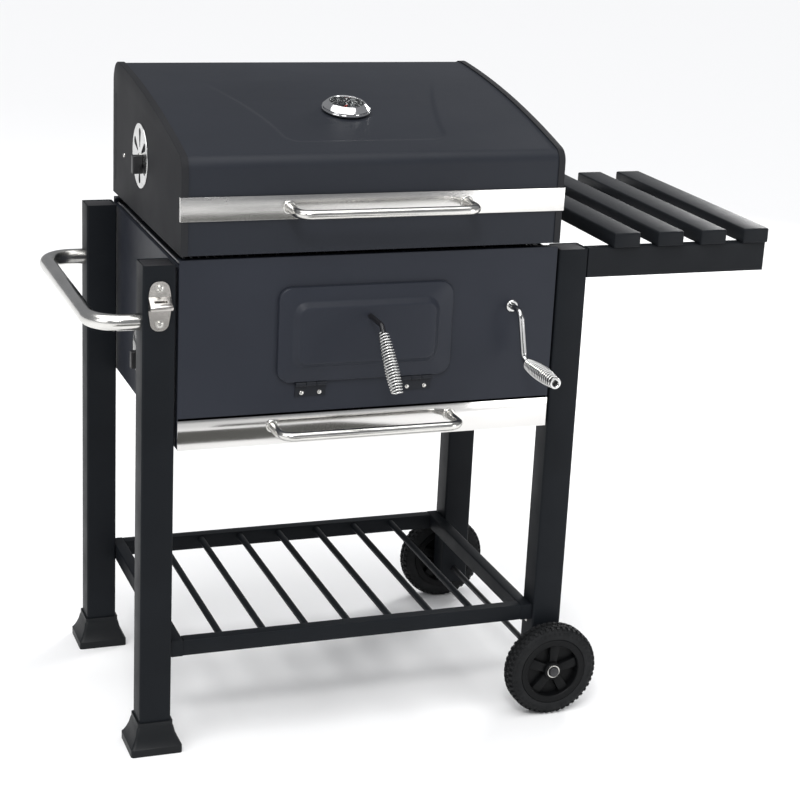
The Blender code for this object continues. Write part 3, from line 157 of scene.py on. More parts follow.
def surface(name, colour, metallic=0.0, roughness=(0.4, 0.5), mottle=(0.9, 1.1), mottle_scale=9,
            grain=600, grain_depth=0.00008, stretch=(1, 1, 1), grain_stretch=None, specular=0.5):
    """Shader with mottled colour, uneven gloss and a fine grain, all on the piece's own coordinates."""
    material = bpy.data.materials.new(name)
    material.use_nodes = True
    nodes, links = material.node_tree.nodes, material.node_tree.links
    shader = nodes["Principled BSDF"]
    shader.inputs["Metallic"].default_value = metallic
    shader.inputs["Specular IOR Level"].default_value = specular
    _, tone = graded_noise(nodes, links, mottle_scale, mottle[0], mottle[1], stretch)
    tint = nodes.new("ShaderNodeMix")
    tint.data_type = "RGBA"
    tint.blend_type = "MULTIPLY"
    tint.inputs["Factor"].default_value = 1.0
    tint.inputs["A"].default_value = (*colour, 1)
    links.new(tone.outputs["Result"], tint.inputs["B"])
    links.new(tint.outputs["Result"], shader.inputs["Base Color"])
    gloss_scale = 2.3 * mottle_scale
    _, gloss = graded_noise(nodes, links, gloss_scale, roughness[0], roughness[1], stretch)
    links.new(gloss.outputs["Result"], shader.inputs["Roughness"])
    grain_noise, _ = graded_noise(nodes, links, grain, 0, 1, grain_stretch or stretch, 2.0)
    bump = nodes.new("ShaderNodeBump")
    bump.inputs["Strength"].default_value = 1.0
    bump.inputs["Distance"].default_value = grain_depth
    links.new(grain_noise.outputs["Fac"], bump.inputs["Height"])
    links.new(bump.outputs["Normal"], shader.inputs["Normal"])
    return material


def finished(shape, name, material, crease_deg=35):
    """Closes the bmesh into a shaded object at the origin."""
    mesh = bpy.data.meshes.new(name)
    shape.to_mesh(mesh)
    shape.free()
    mesh.materials.append(material)
    mesh.shade_smooth()
    mesh.set_sharp_from_angle(angle=math.radians(crease_deg))
    return placed(name, mesh)


def verts_in(made):
    """The vertices among what an operator returns."""
    return [g for g in made if isinstance(g, bmesh.types.BMVert)]


def edges_in(made):
    """The edges among what an operator returns."""
    return [g for g in made if isinstance(g, bmesh.types.BMEdge)]


def unit_block(shape, size):
    """Plain box of the given size about the origin; gives its vertices."""
    made = bmesh.ops.create_cube(shape, size=1)["verts"]
    bmesh.ops.scale(shape, vec=size, verts=made)
    return made


def block(low, high, edge=0.0, segments=2, only=None, shape=None):
    """Box between two corners with rounded edges; only= picks the axis whose edges are rounded."""
    shape = shape or bmesh.new()
    low, high = Vector(low), Vector(high)
    made = unit_block(shape, high - low)
    bmesh.ops.translate(shape, vec=(low + high) / 2, verts=made)
    if edge:
        edges = {e for v in made for e in v.link_edges}
        if only is not None:
            edges = {e for e in edges if abs((e.verts[0].co - e.verts[1].co).normalized()[only]) > 0.9}
        bmesh.ops.bevel(shape, geom=list(edges), offset=edge, affect="EDGES", segments=segments, profile=0.5,
                        material=-1)
    return shape


def repaint(node, material):
    """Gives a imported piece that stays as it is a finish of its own."""
    frame["nodes"][node].data.materials.clear()
    frame["nodes"][node].data.materials.append(material)


leg_coat = surface("leg_coat", (0.0070, 0.0084, 0.0105), specular=0.11, roughness=(0.46, 0.56),
                   mottle=(0.88, 1.12), grain=700, grain_depth=0.00006)
plug_plastic = surface("plug_plastic", (0.012, 0.012, 0.014), roughness=(0.45, 0.6), grain=1100)
leg_corner = 0.0035
leg_lip, leg_wall = 0.0022, 0.0026
plug_depth, plug_length, plug_sink, plug_edge = 0.0018, 0.012, 0.0006, 0.0024
for name in ("leg_front_left", "leg_front_right", "leg_back_left", "leg_back_right"):
    low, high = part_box(name)
    shape = block(low, high, leg_corner, 4, only=2)
    top = [f for f in shape.faces if f.normal.z > 0.9]
    bmesh.ops.inset_region(shape, faces=top, thickness=leg_lip)
    bmesh.ops.translate(shape, vec=(0, 0, -plug_depth), verts=list({v for f in top for v in f.verts}))
    leg = finished(shape, name + "_tube", leg_coat)
    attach(leg, "frame")
    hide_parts(name)
    shape = block((low.x + leg_wall, low.y + leg_wall, high.z - plug_length),
                  (high.x - leg_wall, high.y - leg_wall, high.z - plug_sink), plug_edge, 3)
    plug = finished(shape, name + "_plug", plug_plastic)
    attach(plug, "frame")


# ---------------------------------------------------------------- flared feet
# Moulded plastic boots pushed on the two left legs: a skirt on the floor, hollowed slopes
# and a straight collar round the tube.
boot_plastic = surface("boot_plastic", (0.0070, 0.0080, 0.0092), specular=0.2, roughness=(0.42, 0.55),
                       grain=900, grain_depth=0.0001)
boot_gap = 0.003
collar_share = 0.700
boot_rings = ((0.0125, 1.0), (0.0145, 0.955), (0.022, 0.862), (0.031, 0.782), (0.0415, 0.725),
              (0.043, collar_share), (0.050, collar_share))
for name, leg_name in (("foot_front_left", "leg_front_left"), ("foot_back_left", "leg_back_left")):
    low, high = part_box(name)
    leg_low, leg_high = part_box(leg_name)
    half = (high - low) / 2
    collar = (leg_high - leg_low) / 2 + Vector((boot_gap, boot_gap, 0))
    shape = bmesh.new()
    bmesh.ops.create_grid(shape, x_segments=1, y_segments=1, size=1)
    bmesh.ops.reverse_faces(shape, faces=shape.faces)
    centre = Vector(((low.x + high.x) / 2, (low.y + high.y) / 2, 0))
    bmesh.ops.scale(shape, vec=(half.x, half.y, 1), verts=shape.verts)
    bmesh.ops.translate(shape, vec=centre, verts=shape.verts)
    ring = list(shape.edges)
    for z, share in boot_rings:
        made = bmesh.ops.extrude_edge_only(shape, edges=ring)["geom"]
        ring = edges_in(made)
        blend = (share - collar_share) / (1 - collar_share)
        half_x = collar.x + (half.x - collar.x) * blend
        half_y = collar.y + (half.y - collar.y) * blend
        for vert in verts_in(made):
            vert.co = (centre.x + math.copysign(half_x, vert.co.x - centre.x),
                       centre.y + math.copysign(half_y, vert.co.y - centre.y), z)
    bmesh.ops.contextual_create(shape, geom=ring)
    bmesh.ops.recalc_face_normals(shape, faces=shape.faces)
    corners = [e for e in shape.edges if abs(e.verts[0].co.z - e.verts[1].co.z) > 1e-4]
    bmesh.ops.bevel(shape, geom=corners, offset=0.004, affect="EDGES", segments=4, profile=0.5, material=-1)
    boot = finished(shape, name + "_boot", boot_plastic, 30)
    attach(boot, "frame")
    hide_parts(name)


# ---------------------------------------------------------------- wheels and axle
# Blow-moulded tyre with square knobs on both shoulders, pushed on a five-spoke plastic hub
# that turns on the steel axle and is held by a bright retaining ring.
def turned(profile, steps=64, shape=None, place=(0, 0, 0), axis=(0, 0, 1)):
    """Spins (radius, height) points round +Z, then stands the result at place along axis."""
    shape = shape or bmesh.new()
    chain = [shape.verts.new((r, 0, h)) for r, h in profile]
    geom = chain + [shape.edges.new(pair) for pair in zip(chain, chain[1:])]
    before = set(shape.verts) - set(chain)
    bmesh.ops.spin(shape, geom=geom, cent=(0, 0, 0), axis=(0, 0, 1), angle=2 * math.pi, steps=steps,
                   use_merge=True)
    made = [v for v in shape.verts if v not in before]
    bmesh.ops.remove_doubles(shape, verts=made, dist=1e-6)
    made = [v for v in shape.verts if v not in before]
    bmesh.ops.recalc_face_normals(shape, faces=list({f for v in made for f in v.link_faces}))
    turn = Vector(axis).to_track_quat("Z", "Y").to_matrix().to_4x4()
    bmesh.ops.transform(shape, matrix=Matrix.Translation(place) @ turn, verts=made)
    return shape


tyre_rubber = surface("tyre_rubber", (0.0080, 0.0085, 0.0092), roughness=(0.62, 0.8), mottle=(0.8, 1.25),
                      mottle_scale=30, grain=1400, grain_depth=0.00015, specular=0.2)
hub_plastic = surface("hub_plastic", (0.0035, 0.0038, 0.0042), specular=0.12, roughness=(0.38, 0.5),
                      grain=800)
ring_steel = surface("ring_steel", (0.62, 0.61, 0.58), metallic=1.0, roughness=(0.2, 0.32), grain=900,
                     grain_depth=0.00003)
knob_count = 48
spoke_count = 5
knob_size, knob_sink, shoulder_sink, shoulder_lean = (0.0046, 0.0056, 0.0072), 0.0024, 0.0036, 0.42
rib_size, rib_reach = (0.0048, 0.0011, 0.0010), 0.0655
wheel_stand = Matrix.Rotation(math.radians(90), 4, "X")
for name, outward in (("front", -1), ("back", 1)):
    low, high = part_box("tyre_" + name)
    radius = (high.z - low.z) / 2
    centre = (low + high) / 2
    half = (high.y - low.y) / 2
    body = "wheel_" + name
    tread = radius - 0.0028
    shape = turned([(0.0560, -half + 0.0010), (0.0600, -half + 0.0002), (0.0660, -half),
                    (0.0700, -half + 0.0022), (0.0727, -half + 0.0050), (tread - 0.0004, -half + 0.0085),
                    (tread, 0),
                    (tread - 0.0004, half - 0.0085), (0.0727, half - 0.0050), (0.0700, half - 0.0022),
                    (0.0660, half), (0.0600, half - 0.0002), (0.0560, half - 0.0010), (0.0545, half - 0.006),
                    (0.0545, -half + 0.006), (0.0560, -half + 0.0010)], 96)
    for row, (height, tilt) in enumerate(((-half + 0.0058, -shoulder_lean), (-0.0052, 0), (0.0052, 0),
                                          (half - 0.0058, shoulder_lean))):
        for i in range(knob_count):
            angle = 2 * math.pi * (i + 0.5 * (row % 2)) / knob_count
            knob = unit_block(shape, knob_size)
            outer = [v for v in knob if v.co.x > 0]
            bmesh.ops.scale(shape, vec=(1, 0.82, 0.86), verts=outer)
            reach = radius - (shoulder_sink if tilt else knob_sink)
            stand = (Matrix.Rotation(angle, 4, "Z") @ Matrix.Translation((reach, 0, height))
                     @ Matrix.Rotation(-tilt, 4, "Y"))
            bmesh.ops.transform(shape, matrix=stand, verts=knob)
    for side in (-1, 1):
        for i in range(knob_count):
            angle = 2 * math.pi * (i + 0.25) / knob_count
            rib = unit_block(shape, rib_size)
            stand = (Matrix.Rotation(angle, 4, "Z")
                     @ Matrix.Translation((rib_reach, 0, side * (half - 0.0001))))
            bmesh.ops.transform(shape, matrix=stand, verts=rib)
    bmesh.ops.transform(shape, matrix=Matrix.Translation(centre) @ wheel_stand, verts=shape.verts)
    over = max(v.co.y for v in shape.verts) - high.y
    if over > 0:
        bmesh.ops.scale(shape, vec=(1, half / (half + over), 1), verts=shape.verts,
                        space=Matrix.Translation(-centre))
    tyre = finished(shape, "tyre_" + name + "_knobbed", tyre_rubber, 32)
    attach(tyre, body)
    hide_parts("tyre_" + name)

    face = half - 0.0012
    shape = turned([(0.0062, -face), (0.0140, -face), (0.0145, -face + 0.0008), (0.0145, -0.003),
                    (0.0432, -0.003), (0.0442, -face + 0.0012), (0.0456, -face), (0.0500, -face + 0.0004),
                    (0.0548, -face), (0.0556, -face + 0.0012), (0.0556, face - 0.0012), (0.0548, face),
                    (0.0500, face - 0.0004), (0.0456, face), (0.0442, face - 0.0012), (0.0432, 0.003),
                    (0.0145, 0.003), (0.0145, face - 0.0008), (0.0140, face), (0.0062, face),
                    (0.0062, -face)], 80)
    for i in range(spoke_count):
        spoke = unit_block(shape, (0.032, 0.0130, 2 * face - 0.0085))
        wide = [v for v in spoke if v.co.x > 0]
        bmesh.ops.scale(shape, vec=(1, 1.35, 0.93), verts=wide)
        edges = list({e for v in spoke for e in v.link_edges})
        made = bmesh.ops.bevel(shape, geom=edges, offset=0.0014, affect="EDGES", segments=2, profile=0.5,
                               material=-1)["verts"]
        angle = 2 * math.pi * (i + 0.2) / spoke_count
        stand = Matrix.Rotation(angle, 4, "Z") @ Matrix.Translation((0.0284, 0, 0))
        bmesh.ops.transform(shape, matrix=stand, verts=made)
    bmesh.ops.transform(shape, matrix=Matrix.Translation(centre) @ wheel_stand, verts=shape.verts)
    hub = finished(shape, "hub_" + name + "_spoked", hub_plastic, 32)
    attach(hub, body)
    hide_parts("hub_" + name)

    ring_face = centre.y + outward * (face - 0.0002)
    shape = turned([(0.0086, 0), (0.0086, 0.0010), (0.0090, 0.0014), (0.0104, 0.0014), (0.0108, 0.0008),
                    (0.0108, 0), (0.0086, 0)], 40, place=(centre.x, ring_face, centre.z),
                   axis=(0, outward, 0))
    ring = finished(shape, "wheel_ring_" + name, ring_steel)
    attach(ring, body)

axle_low, axle_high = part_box("axle")
axle_mid = (axle_low + axle_high) / 2
axle_length = axle_high.y - axle_low.y
axle_head = [(0.0001, 0.0), (0.0045, 0.0002), (0.0072, 0.0012), (0.0083, 0.0028), (0.0085, 0.0048),
             (0.0050, 0.0050)]
axle_profile = axle_head + [(r, axle_length - h) for r, h in reversed(axle_head)]
axle_steel = surface("axle_steel", (0.045, 0.045, 0.048), metallic=0.6, roughness=(0.32, 0.5),
                     mottle=(0.7, 1.2), mottle_scale=90, grain=600, grain_depth=0.00005)
shape = turned(axle_profile, 40, place=(axle_mid.x, axle_high.y, axle_mid.z), axis=(0, -1, 0))
axle = finished(shape, "axle_rod", axle_steel)
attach(axle, "frame")
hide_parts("axle")


# ---------------------------------------------------------------- lower shelf
# Coated steel tube frame between the legs, with round rods welded front to back. A bolt
# through each leg holds the side rails.
def bar_along(points, radius, name, sides=3):
    """Round bar that follows the points, as a mesh with closed ends."""
    curve = bpy.data.curves.new(name, "CURVE")
    curve.dimensions = "3D"
    curve.bevel_depth = radius
    curve.bevel_resolution = sides
    curve.use_fill_caps = True
    line = curve.splines.new("POLY")
    line.points.add(len(points) - 1)
    for point, place in zip(line.points, points):
        point.co = (*place, 1)
    drawn = placed(name, curve)
    bpy.context.view_layer.update()
    mesh = bpy.data.meshes.new_from_object(drawn.evaluated_get(bpy.context.evaluated_depsgraph_get()))
    bpy.data.objects.remove(drawn)
    shape = bmesh.new()
    shape.from_mesh(mesh)
    bpy.data.meshes.remove(mesh)
    bmesh.ops.remove_doubles(shape, verts=shape.verts, dist=1e-6)
    return shape


def rod_between(shape, radius, length, steps, place, axis):
    """Straight round rod from a place along an axis."""
    return turned([(0.0001, 0), (radius, 0), (radius, length), (0.0001, length)], steps, shape, place, axis)


shelf_low, shelf_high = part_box("shelf_grid")
shelf_rail, rail_edge = 0.020, 0.0022
rod_r, rod_count, rod_start, rod_pitch, rod_sink, rod_overlap = 0.0055, 7, 0.064, 0.070, 0.003, 0.015
shape = bmesh.new()
for y in (shelf_low.y, shelf_high.y - shelf_rail):
    block((shelf_low.x, y, shelf_low.z), (shelf_high.x, y + shelf_rail, shelf_high.z), rail_edge, 3, only=0,
          shape=shape)
for i in range(rod_count):
    start = (shelf_low.x + rod_start + rod_pitch * i, shelf_low.y + rod_overlap,
             shelf_high.z - rod_r - rod_sink)
    rod_between(shape, rod_r, shelf_high.y - shelf_low.y - 2 * rod_overlap, 20, start, (0, 1, 0))
shelf = finished(shape, "shelf_frame", leg_coat)
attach(shelf, "frame")
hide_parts("shelf_grid")
for name, leg_name, facing in (("left", "leg_front_left", 1), ("right", "leg_front_right", -1)):
    low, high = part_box(leg_name)
    inner_x = high.x if facing > 0 else low.x
    shape = turned([(0.0001, 0.0026), (0.0024, 0.0023), (0.0040, 0.0012), (0.0043, 0.0), (0.0001, 0.0)], 24,
                   place=(inner_x, low.y + 0.024, shelf_low.z - 0.008), axis=(facing, 0, 0))
    bolt = finished(shape, f"shelf_bolt_{name}", ring_steel)
    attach(bolt, "frame")
for name in ("shelf_left_rail", "shelf_right_rail"):
    low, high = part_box(name)
    rail = finished(block(low, high, rail_edge, 3, only=1), name + "_tube", leg_coat)
    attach(rail, "frame")
    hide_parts(name)


# ---------------------------------------------------------------- firebox sheets
# Folded sheet steel, powder coated satin blue-black, fixed between the legs. The front stops
# above the ash drawer; the sides carry the drawer on turned-in runners.
box_coat = surface("box_coat", (0.0190, 0.0216, 0.0292), specular=0.18, roughness=(0.38, 0.48),
                   mottle=(0.93, 1.08), mottle_scale=5, grain=620, grain_depth=0.00009)
for name in ("firebox_front", "firebox_back", "firebox_left", "firebox_right"):
    repaint(name, box_coat)

# ---------------------------------------------------------------- charcoal pan, ash tray and lift
# Enamelled steel pan and tray. The crank's pinion and the rack that lifts the pan are zinc
# plated, and so are the pan's bracket, the latch tongue and the lid's hinges.
pan_enamel = surface("pan_enamel", (0.010, 0.010, 0.0105), roughness=(0.18, 0.32), mottle=(0.7, 1.8),
                     mottle_scale=420, grain=160, grain_depth=0.00006, specular=0.6)
zinc_plate = surface("zinc_plate", (0.50, 0.51, 0.53), metallic=1.0, roughness=(0.28, 0.48),
                     mottle=(0.85, 1.1), mottle_scale=160, grain=500, grain_depth=0.00004)
for name in ("charcoal_pan", "ash_tray"):
    repaint(name, pan_enamel)
for name in ("lift_rack", "lift_pinion", "lift_arm", "door_latch_tongue", "lid_hinge_base_left",
             "lid_hinge_base_right", "lid_hinge_leaf_left", "lid_hinge_leaf_right"):
    repaint(name, zinc_plate)

# ---------------------------------------------------------------- cooking grates
# Two chromed wire grates side by side on the ledges: a round rim bar, long wires and two
# cross wires under them.
# Their chrome is toned down well below the other chromes as painted shade, so the rim seen in the gap under
# the lid stays dark.
grate_chrome = surface("grate_chrome", (0.34, 0.34, 0.345), metallic=1.0, roughness=(0.24, 0.38),
                       mottle=(0.85, 1.05), mottle_scale=40, grain=400, grain_depth=0.00003)
rim_r, wire_r, cross_r, cross_drop, wire_count = 0.0022, 0.0016, 0.0009, 0.0018, 25
for name in ("cooking_grate_left", "cooking_grate_right"):
    low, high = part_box(name)
    z = high.z - rim_r
    wide, deep = high.x - low.x - 2 * rim_r, high.y - low.y - 2 * rim_r
    shape = bmesh.new()
    for y in (low.y + rim_r, high.y - rim_r):
        rod_between(shape, rim_r, wide, 10, (low.x + rim_r, y, z), (1, 0, 0))
    for i in range(wire_count):
        x = low.x + rim_r + wide * i / (wire_count - 1)
        thick = rim_r if i in (0, wire_count - 1) else wire_r
        rod_between(shape, thick, deep, 8, (x, low.y + rim_r, z), (0, 1, 0))
    for share in (0.3, 0.7):
        y = low.y + share * (high.y - low.y)
        rod_between(shape, cross_r, wide, 8, (low.x + rim_r, y, z - cross_drop), (1, 0, 0))
    grate = finished(shape, name + "_wires", grate_chrome, 50)
    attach(grate, "frame")
    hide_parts(name)


# ---------------------------------------------------------------- air vents
# Stainless disc with petal slots that turns on a rivet in the wall, with a black plastic knob
# block to one side of the rivet. One on each lid end and one low on the firebox's left.
def cut_out(shape, tool):
    """Takes the tool's solid out of the shape's solid."""
    objects = []
    for part in (shape, tool):
        mesh = bpy.data.meshes.new("cutting")
        part.to_mesh(mesh)
        part.free()
        objects.append(placed("cutting", mesh))
    cut = objects[0].modifiers.new("cut", "BOOLEAN")
    cut.operation = "DIFFERENCE"
    cut.solver = "EXACT"
    cut.object = objects[1]
    bpy.context.view_layer.update()
    mesh = bpy.data.meshes.new_from_object(objects[0].evaluated_get(bpy.context.evaluated_depsgraph_get()))
    result = bmesh.new()
    result.from_mesh(mesh)
    for made in objects:
        bpy.data.objects.remove(made)
    return result


vent_steel = surface("vent_steel", (0.66, 0.66, 0.65), metallic=1.0, roughness=(0.16, 0.28),
                     mottle=(0.86, 1.06), mottle_scale=24, grain=500, grain_depth=0.00004)
knob_plastic = surface("knob_plastic", (0.010, 0.010, 0.011), roughness=(0.34, 0.46), grain=900)
petal_count = 6
petal_long, petal_wide, petal_round, petal_start = 0.58, 0.30, 0.13, 0.26
disc_seat, knob_reach, knob_half_y, knob_half_z = 0.0011, 0.0165, 0.006, 0.014
for name, outward in (("lid_vent_left", -1), ("lid_vent_right", 1), ("firebox_vent", -1)):
    low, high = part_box(name)
    centre = joint_place[name + "_turn"]
    radius = (high.z - low.z) / 2
    wall_x = high.x if outward < 0 else low.x
    disc = turned([(0.0001, 0), (radius - 0.0008, 0), (radius, 0.0004), (radius - 0.0003, 0.0012),
                   (radius - 0.0022, 0.0016), (radius - 0.0040, 0.0012), (0.0001, 0.0012)], 72)
    petals = bmesh.new()
    for k in range(petal_count):
        petal = unit_block(petals, (petal_long * radius, petal_wide * radius, 0.02))
        tip = [v for v in petal if v.co.x < 0]
        bmesh.ops.scale(petals, vec=(1, 0.22, 1), verts=tip)
        uprights = [e for e in {e for v in petal for e in v.link_edges}
                    if abs(e.verts[0].co.z - e.verts[1].co.z) > 0.01 and e.verts[0].co.x > 0]
        made = bmesh.ops.bevel(petals, geom=uprights, offset=petal_round * radius, affect="EDGES", segments=5,
                               profile=0.5, material=-1)["verts"]
        every = list({v for f in {f for v in made for f in v.link_faces} for v in f.verts})
        stand = (Matrix.Rotation(math.radians(90 + 360 * k / petal_count), 4, "Z")
                 @ Matrix.Translation(((petal_start + 0.30) * radius, 0, 0)))
        bmesh.ops.transform(petals, matrix=stand, verts=every)
    disc = cut_out(disc, petals)
    turn = Vector((outward, 0, 0)).to_track_quat("Z", "Y").to_matrix().to_4x4()
    upright = Matrix.Translation((wall_x, centre.y, centre.z)) @ turn
    bmesh.ops.transform(disc, matrix=upright, verts=disc.verts)
    plate = finished(disc, name + "_disc", vent_steel, 25)
    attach(plate, name)
    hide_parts(name)
    near_x = wall_x + outward * disc_seat
    tip_x = wall_x + outward * knob_reach
    knob_y, knob_z = centre.y - 0.30 * radius, centre.z - 0.20 * radius
    knob = block((min(near_x, tip_x), knob_y - knob_half_y, knob_z - knob_half_z),
                 (max(near_x, tip_x), knob_y + knob_half_y, knob_z + knob_half_z), 0.0014, 3)
    rivet = turned([(0.0001, 0.0032), (0.0030, 0.0028), (0.0044, 0.0014), (0.0046, 0.0), (0.0001, 0.0)], 24,
                   place=(near_x, centre.y, centre.z), axis=(outward, 0, 0))
    pin = finished(rivet, name + "_rivet", ring_steel)
    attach(pin, name)
    grip = finished(knob, name + "_knob", knob_plastic)
    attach(grip, name)


# ---------------------------------------------------------------- lid
# One sheet folded over the front, roof and back, with a shallow pressed panel on the roof, and
# two pressed end caps whose flanges lap it. Powder coated, a little greyer on the ends.
lid_coat = surface("lid_coat", (0.0150, 0.0172, 0.0228), specular=0.20, roughness=(0.40, 0.50),
                   mottle=(0.92, 1.08), mottle_scale=4, grain=560, grain_depth=0.00011)
cap_coat = surface("cap_coat", (0.0215, 0.0220, 0.0240), specular=0.08, roughness=(0.58, 0.68),
                   mottle=(0.92, 1.08), mottle_scale=5, grain=560, grain_depth=0.00011)
cap_low, cap_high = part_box("lid_cap_left")
lid_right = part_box("lid_cap_right")[1].x
lid_bottom = cap_low.z
lid_front, lid_back = cap_low.y, cap_high.y
front_r, back_r, roof_r = 0.022, 0.035, 2.200
front_bend_z, lid_top = 0.909, 1.000
front_centre = Vector((lid_front + front_r, front_bend_z))
back_centre = Vector((lid_back - back_r, lid_top - back_r))
chord = back_centre - front_centre
reach_front = roof_r - front_r
along = (reach_front ** 2 - (roof_r - back_r) ** 2 + chord.length ** 2) / (2 * chord.length)
across = Vector((-chord.y, chord.x)).normalized()
roof_centre = front_centre + chord.normalized() * along - across * math.sqrt(reach_front ** 2 - along ** 2)


def lid_section(shape, x, inset, roof_steps):
    """Chain of edges up the front, over the roof and down the back, moved in by inset."""
    foot = shape.verts.new((x, lid_front + inset, lid_bottom))
    top = shape.verts.new((x, lid_front + inset, front_centre.y))
    chain = [foot, top]
    lean_front = math.atan2(front_centre.y - roof_centre.y, front_centre.x - roof_centre.x)
    lean_back = math.atan2(back_centre.y - roof_centre.y, back_centre.x - roof_centre.x)
    turns = ((front_centre, math.pi - lean_front, 8), (roof_centre, lean_front - lean_back, roof_steps),
             (back_centre, lean_back, 10))
    last = top
    shape.edges.new((foot, top))
    for centre, turn, steps in turns:
        before = set(shape.verts)
        bmesh.ops.spin(shape, geom=[last], cent=(x, centre.x, centre.y), axis=(-1, 0, 0), angle=turn,
                       steps=steps)
        made = [v for v in shape.verts if v not in before]
        made.sort(key=lambda v: -math.atan2(v.co.z - centre.y, v.co.y - centre.x))
        chain += made
        last = made[-1]
    heel = shape.verts.new((x, lid_back - inset, lid_bottom))
    shape.edges.new((last, heel))
    return chain + [heel]


panel_front_y = -0.122
panel_half_front, panel_flare = 0.125, 0.052
panel_corner, panel_lip, panel_depth = 0.022, 0.0075, 0.0017
panel_fade_end, panel_fade = 0.13, 0.09
lid_inset, sheet_thick = 0.0018, 0.0015
sheet_right = lid_right - lid_inset
sheet_left = cap_low.x + lid_inset
shape = bmesh.new()
lid_section(shape, sheet_right, lid_inset, 150)
columns = 200
ring = list(shape.edges)
for i in range(columns):
    made = bmesh.ops.extrude_edge_only(shape, edges=ring)["geom"]
    ring = [e for e in edges_in(made) if all(v in made for v in e.verts)]
    ring = [e for e in ring if abs(e.verts[0].co.x - e.verts[1].co.x) < 1e-9]
    bmesh.ops.translate(shape, vec=((sheet_left - sheet_right) / columns, 0, 0), verts=verts_in(made))
bmesh.ops.recalc_face_normals(shape, faces=shape.faces)
if sum(f.normal.z for f in shape.faces) < 0:
    bmesh.ops.reverse_faces(shape, faces=shape.faces)
mid_x = (sheet_left + sheet_right) / 2
for vert in shape.verts:
    forward = vert.co.y - panel_front_y
    if vert.co.z < front_centre.y + 0.015 or forward < -0.02:
        continue
    half = panel_half_front + panel_flare * max(0, forward / 0.21) ** 1.5
    sideways = half - abs(vert.co.x - mid_x)
    inside = min(sideways, forward)
    if sideways < panel_corner and forward < panel_corner:
        inside = panel_corner - math.hypot(panel_corner - sideways, panel_corner - forward)
    rise = max(0.0, min(1.0, inside / panel_lip + 0.5))
    fade = max(0.0, min(1.0, (panel_fade_end - vert.co.y) / panel_fade))
    outward = Vector((0, vert.co.y - roof_centre.x, vert.co.z - roof_centre.y)).normalized()
    vert.co -= outward * panel_depth * rise * rise * (3 - 2 * rise) * fade
bmesh.ops.solidify(shape, geom=shape.faces, thickness=sheet_thick)
sheet = finished(shape, "lid_sheet_pressed", lid_coat, 50)
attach(sheet, "lid")
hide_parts("lid_sheet")

flange, cap_edge, cap_thick = 0.0105, 0.0014, 0.0012
shaded_crease_inset, shaded_crease_half, shaded_crease_proud, shaded_crease_bottom, shaded_crease_top = 0.020, 0.0011, 0.0004, 0.808, 0.949
bolt_y, bolt_z = 0.1964, 0.860
for name, x, inward in (("lid_cap_left", cap_low.x, 1), ("lid_cap_right", lid_right, -1)):
    shape = bmesh.new()
    bmesh.ops.contextual_create(shape, geom=lid_section(shape, x, 0, 40))
    rim = [e for e in shape.edges if max(v.co.z for v in e.verts) >= lid_bottom + 1e-6]
    made = bmesh.ops.extrude_edge_only(shape, edges=rim)["geom"]
    bmesh.ops.translate(shape, vec=(inward * flange, 0, 0), verts=verts_in(made))
    bmesh.ops.recalc_face_normals(shape, faces=shape.faces)
    flat = max(shape.faces, key=lambda f: f.calc_area())
    if flat.normal.x * inward > 0:
        bmesh.ops.reverse_faces(shape, faces=shape.faces)
    edges = [e for e in shape.edges if len(e.link_faces) == 2 and flat in e.link_faces]
    bmesh.ops.bevel(shape, geom=edges, offset=cap_edge, affect="EDGES", segments=3, profile=0.5, material=-1)
    bmesh.ops.solidify(shape, geom=shape.faces, thickness=cap_thick)
    cap = finished(shape, name + "_pressed", cap_coat, 30)
    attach(cap, "lid")
    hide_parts(name)
    # A thin raised crease near the back of each cap. It is given the legs' darker coat as painted shade of
    # the groove along the crease.
    shaded_crease_y = lid_back - shaded_crease_inset
    shaded_crease_in = x + inward * 0.001
    shape = block((min(x, shaded_crease_in) - shaded_crease_proud, shaded_crease_y - shaded_crease_half, shaded_crease_bottom),
                  (max(x, shaded_crease_in) + shaded_crease_proud, shaded_crease_y + shaded_crease_half, shaded_crease_top), shaded_crease_proud, 2)
    shaded_crease = finished(shape, name + "_seam", leg_coat)
    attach(shaded_crease, "lid")
    shape = turned([(0.0001, 0.0022), (0.0020, 0.0020), (0.0034, 0.0010), (0.0036, -0.0002),
                    (0.0001, -0.0002)], 24, place=(x - inward * 0.0001, bolt_y, bolt_z), axis=(-inward, 0, 0))
    bolt = finished(shape, name + "_bolt", ring_steel)
    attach(bolt, "lid")

# ---------------------------------------------------------------- lid trim strip
# Brushed stainless strip with bright folded edges, wrapped round both ends of the lid's front
# above its bottom edge. The lid's tube handle is screwed through it.
strip_steel = surface("strip_steel", (0.68, 0.67, 0.65), metallic=1.0, roughness=(0.17, 0.30),
                      mottle=(0.84, 1.08), mottle_scale=3.0, grain=1.0, grain_depth=0.00003,
                      stretch=(1.0, 3.0, 9.0), grain_stretch=(14, 2600, 2600))
strip_thick, strip_edge, return_edge, return_inset, fold_r = 0.0012, 0.0005, 0.0004, 0.0002, 0.0009
low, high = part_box("lid_trim")
shape = block(low, (high.x, low.y + strip_thick, high.z), strip_edge, 2)
for x in (low.x, high.x - strip_thick):
    block((x, low.y + return_inset, low.z), (x + strip_thick, high.y, high.z), return_edge, 2, shape=shape)
for z in (low.z + fold_r, high.z - fold_r):
    rod_between(shape, fold_r, high.x - low.x - 2 * return_inset, 12,
                (low.x + return_inset, low.y + fold_r, z), (1, 0, 0))
trim = finished(shape, "lid_trim_strip", strip_steel)
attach(trim, "lid")
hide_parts("lid_trim")


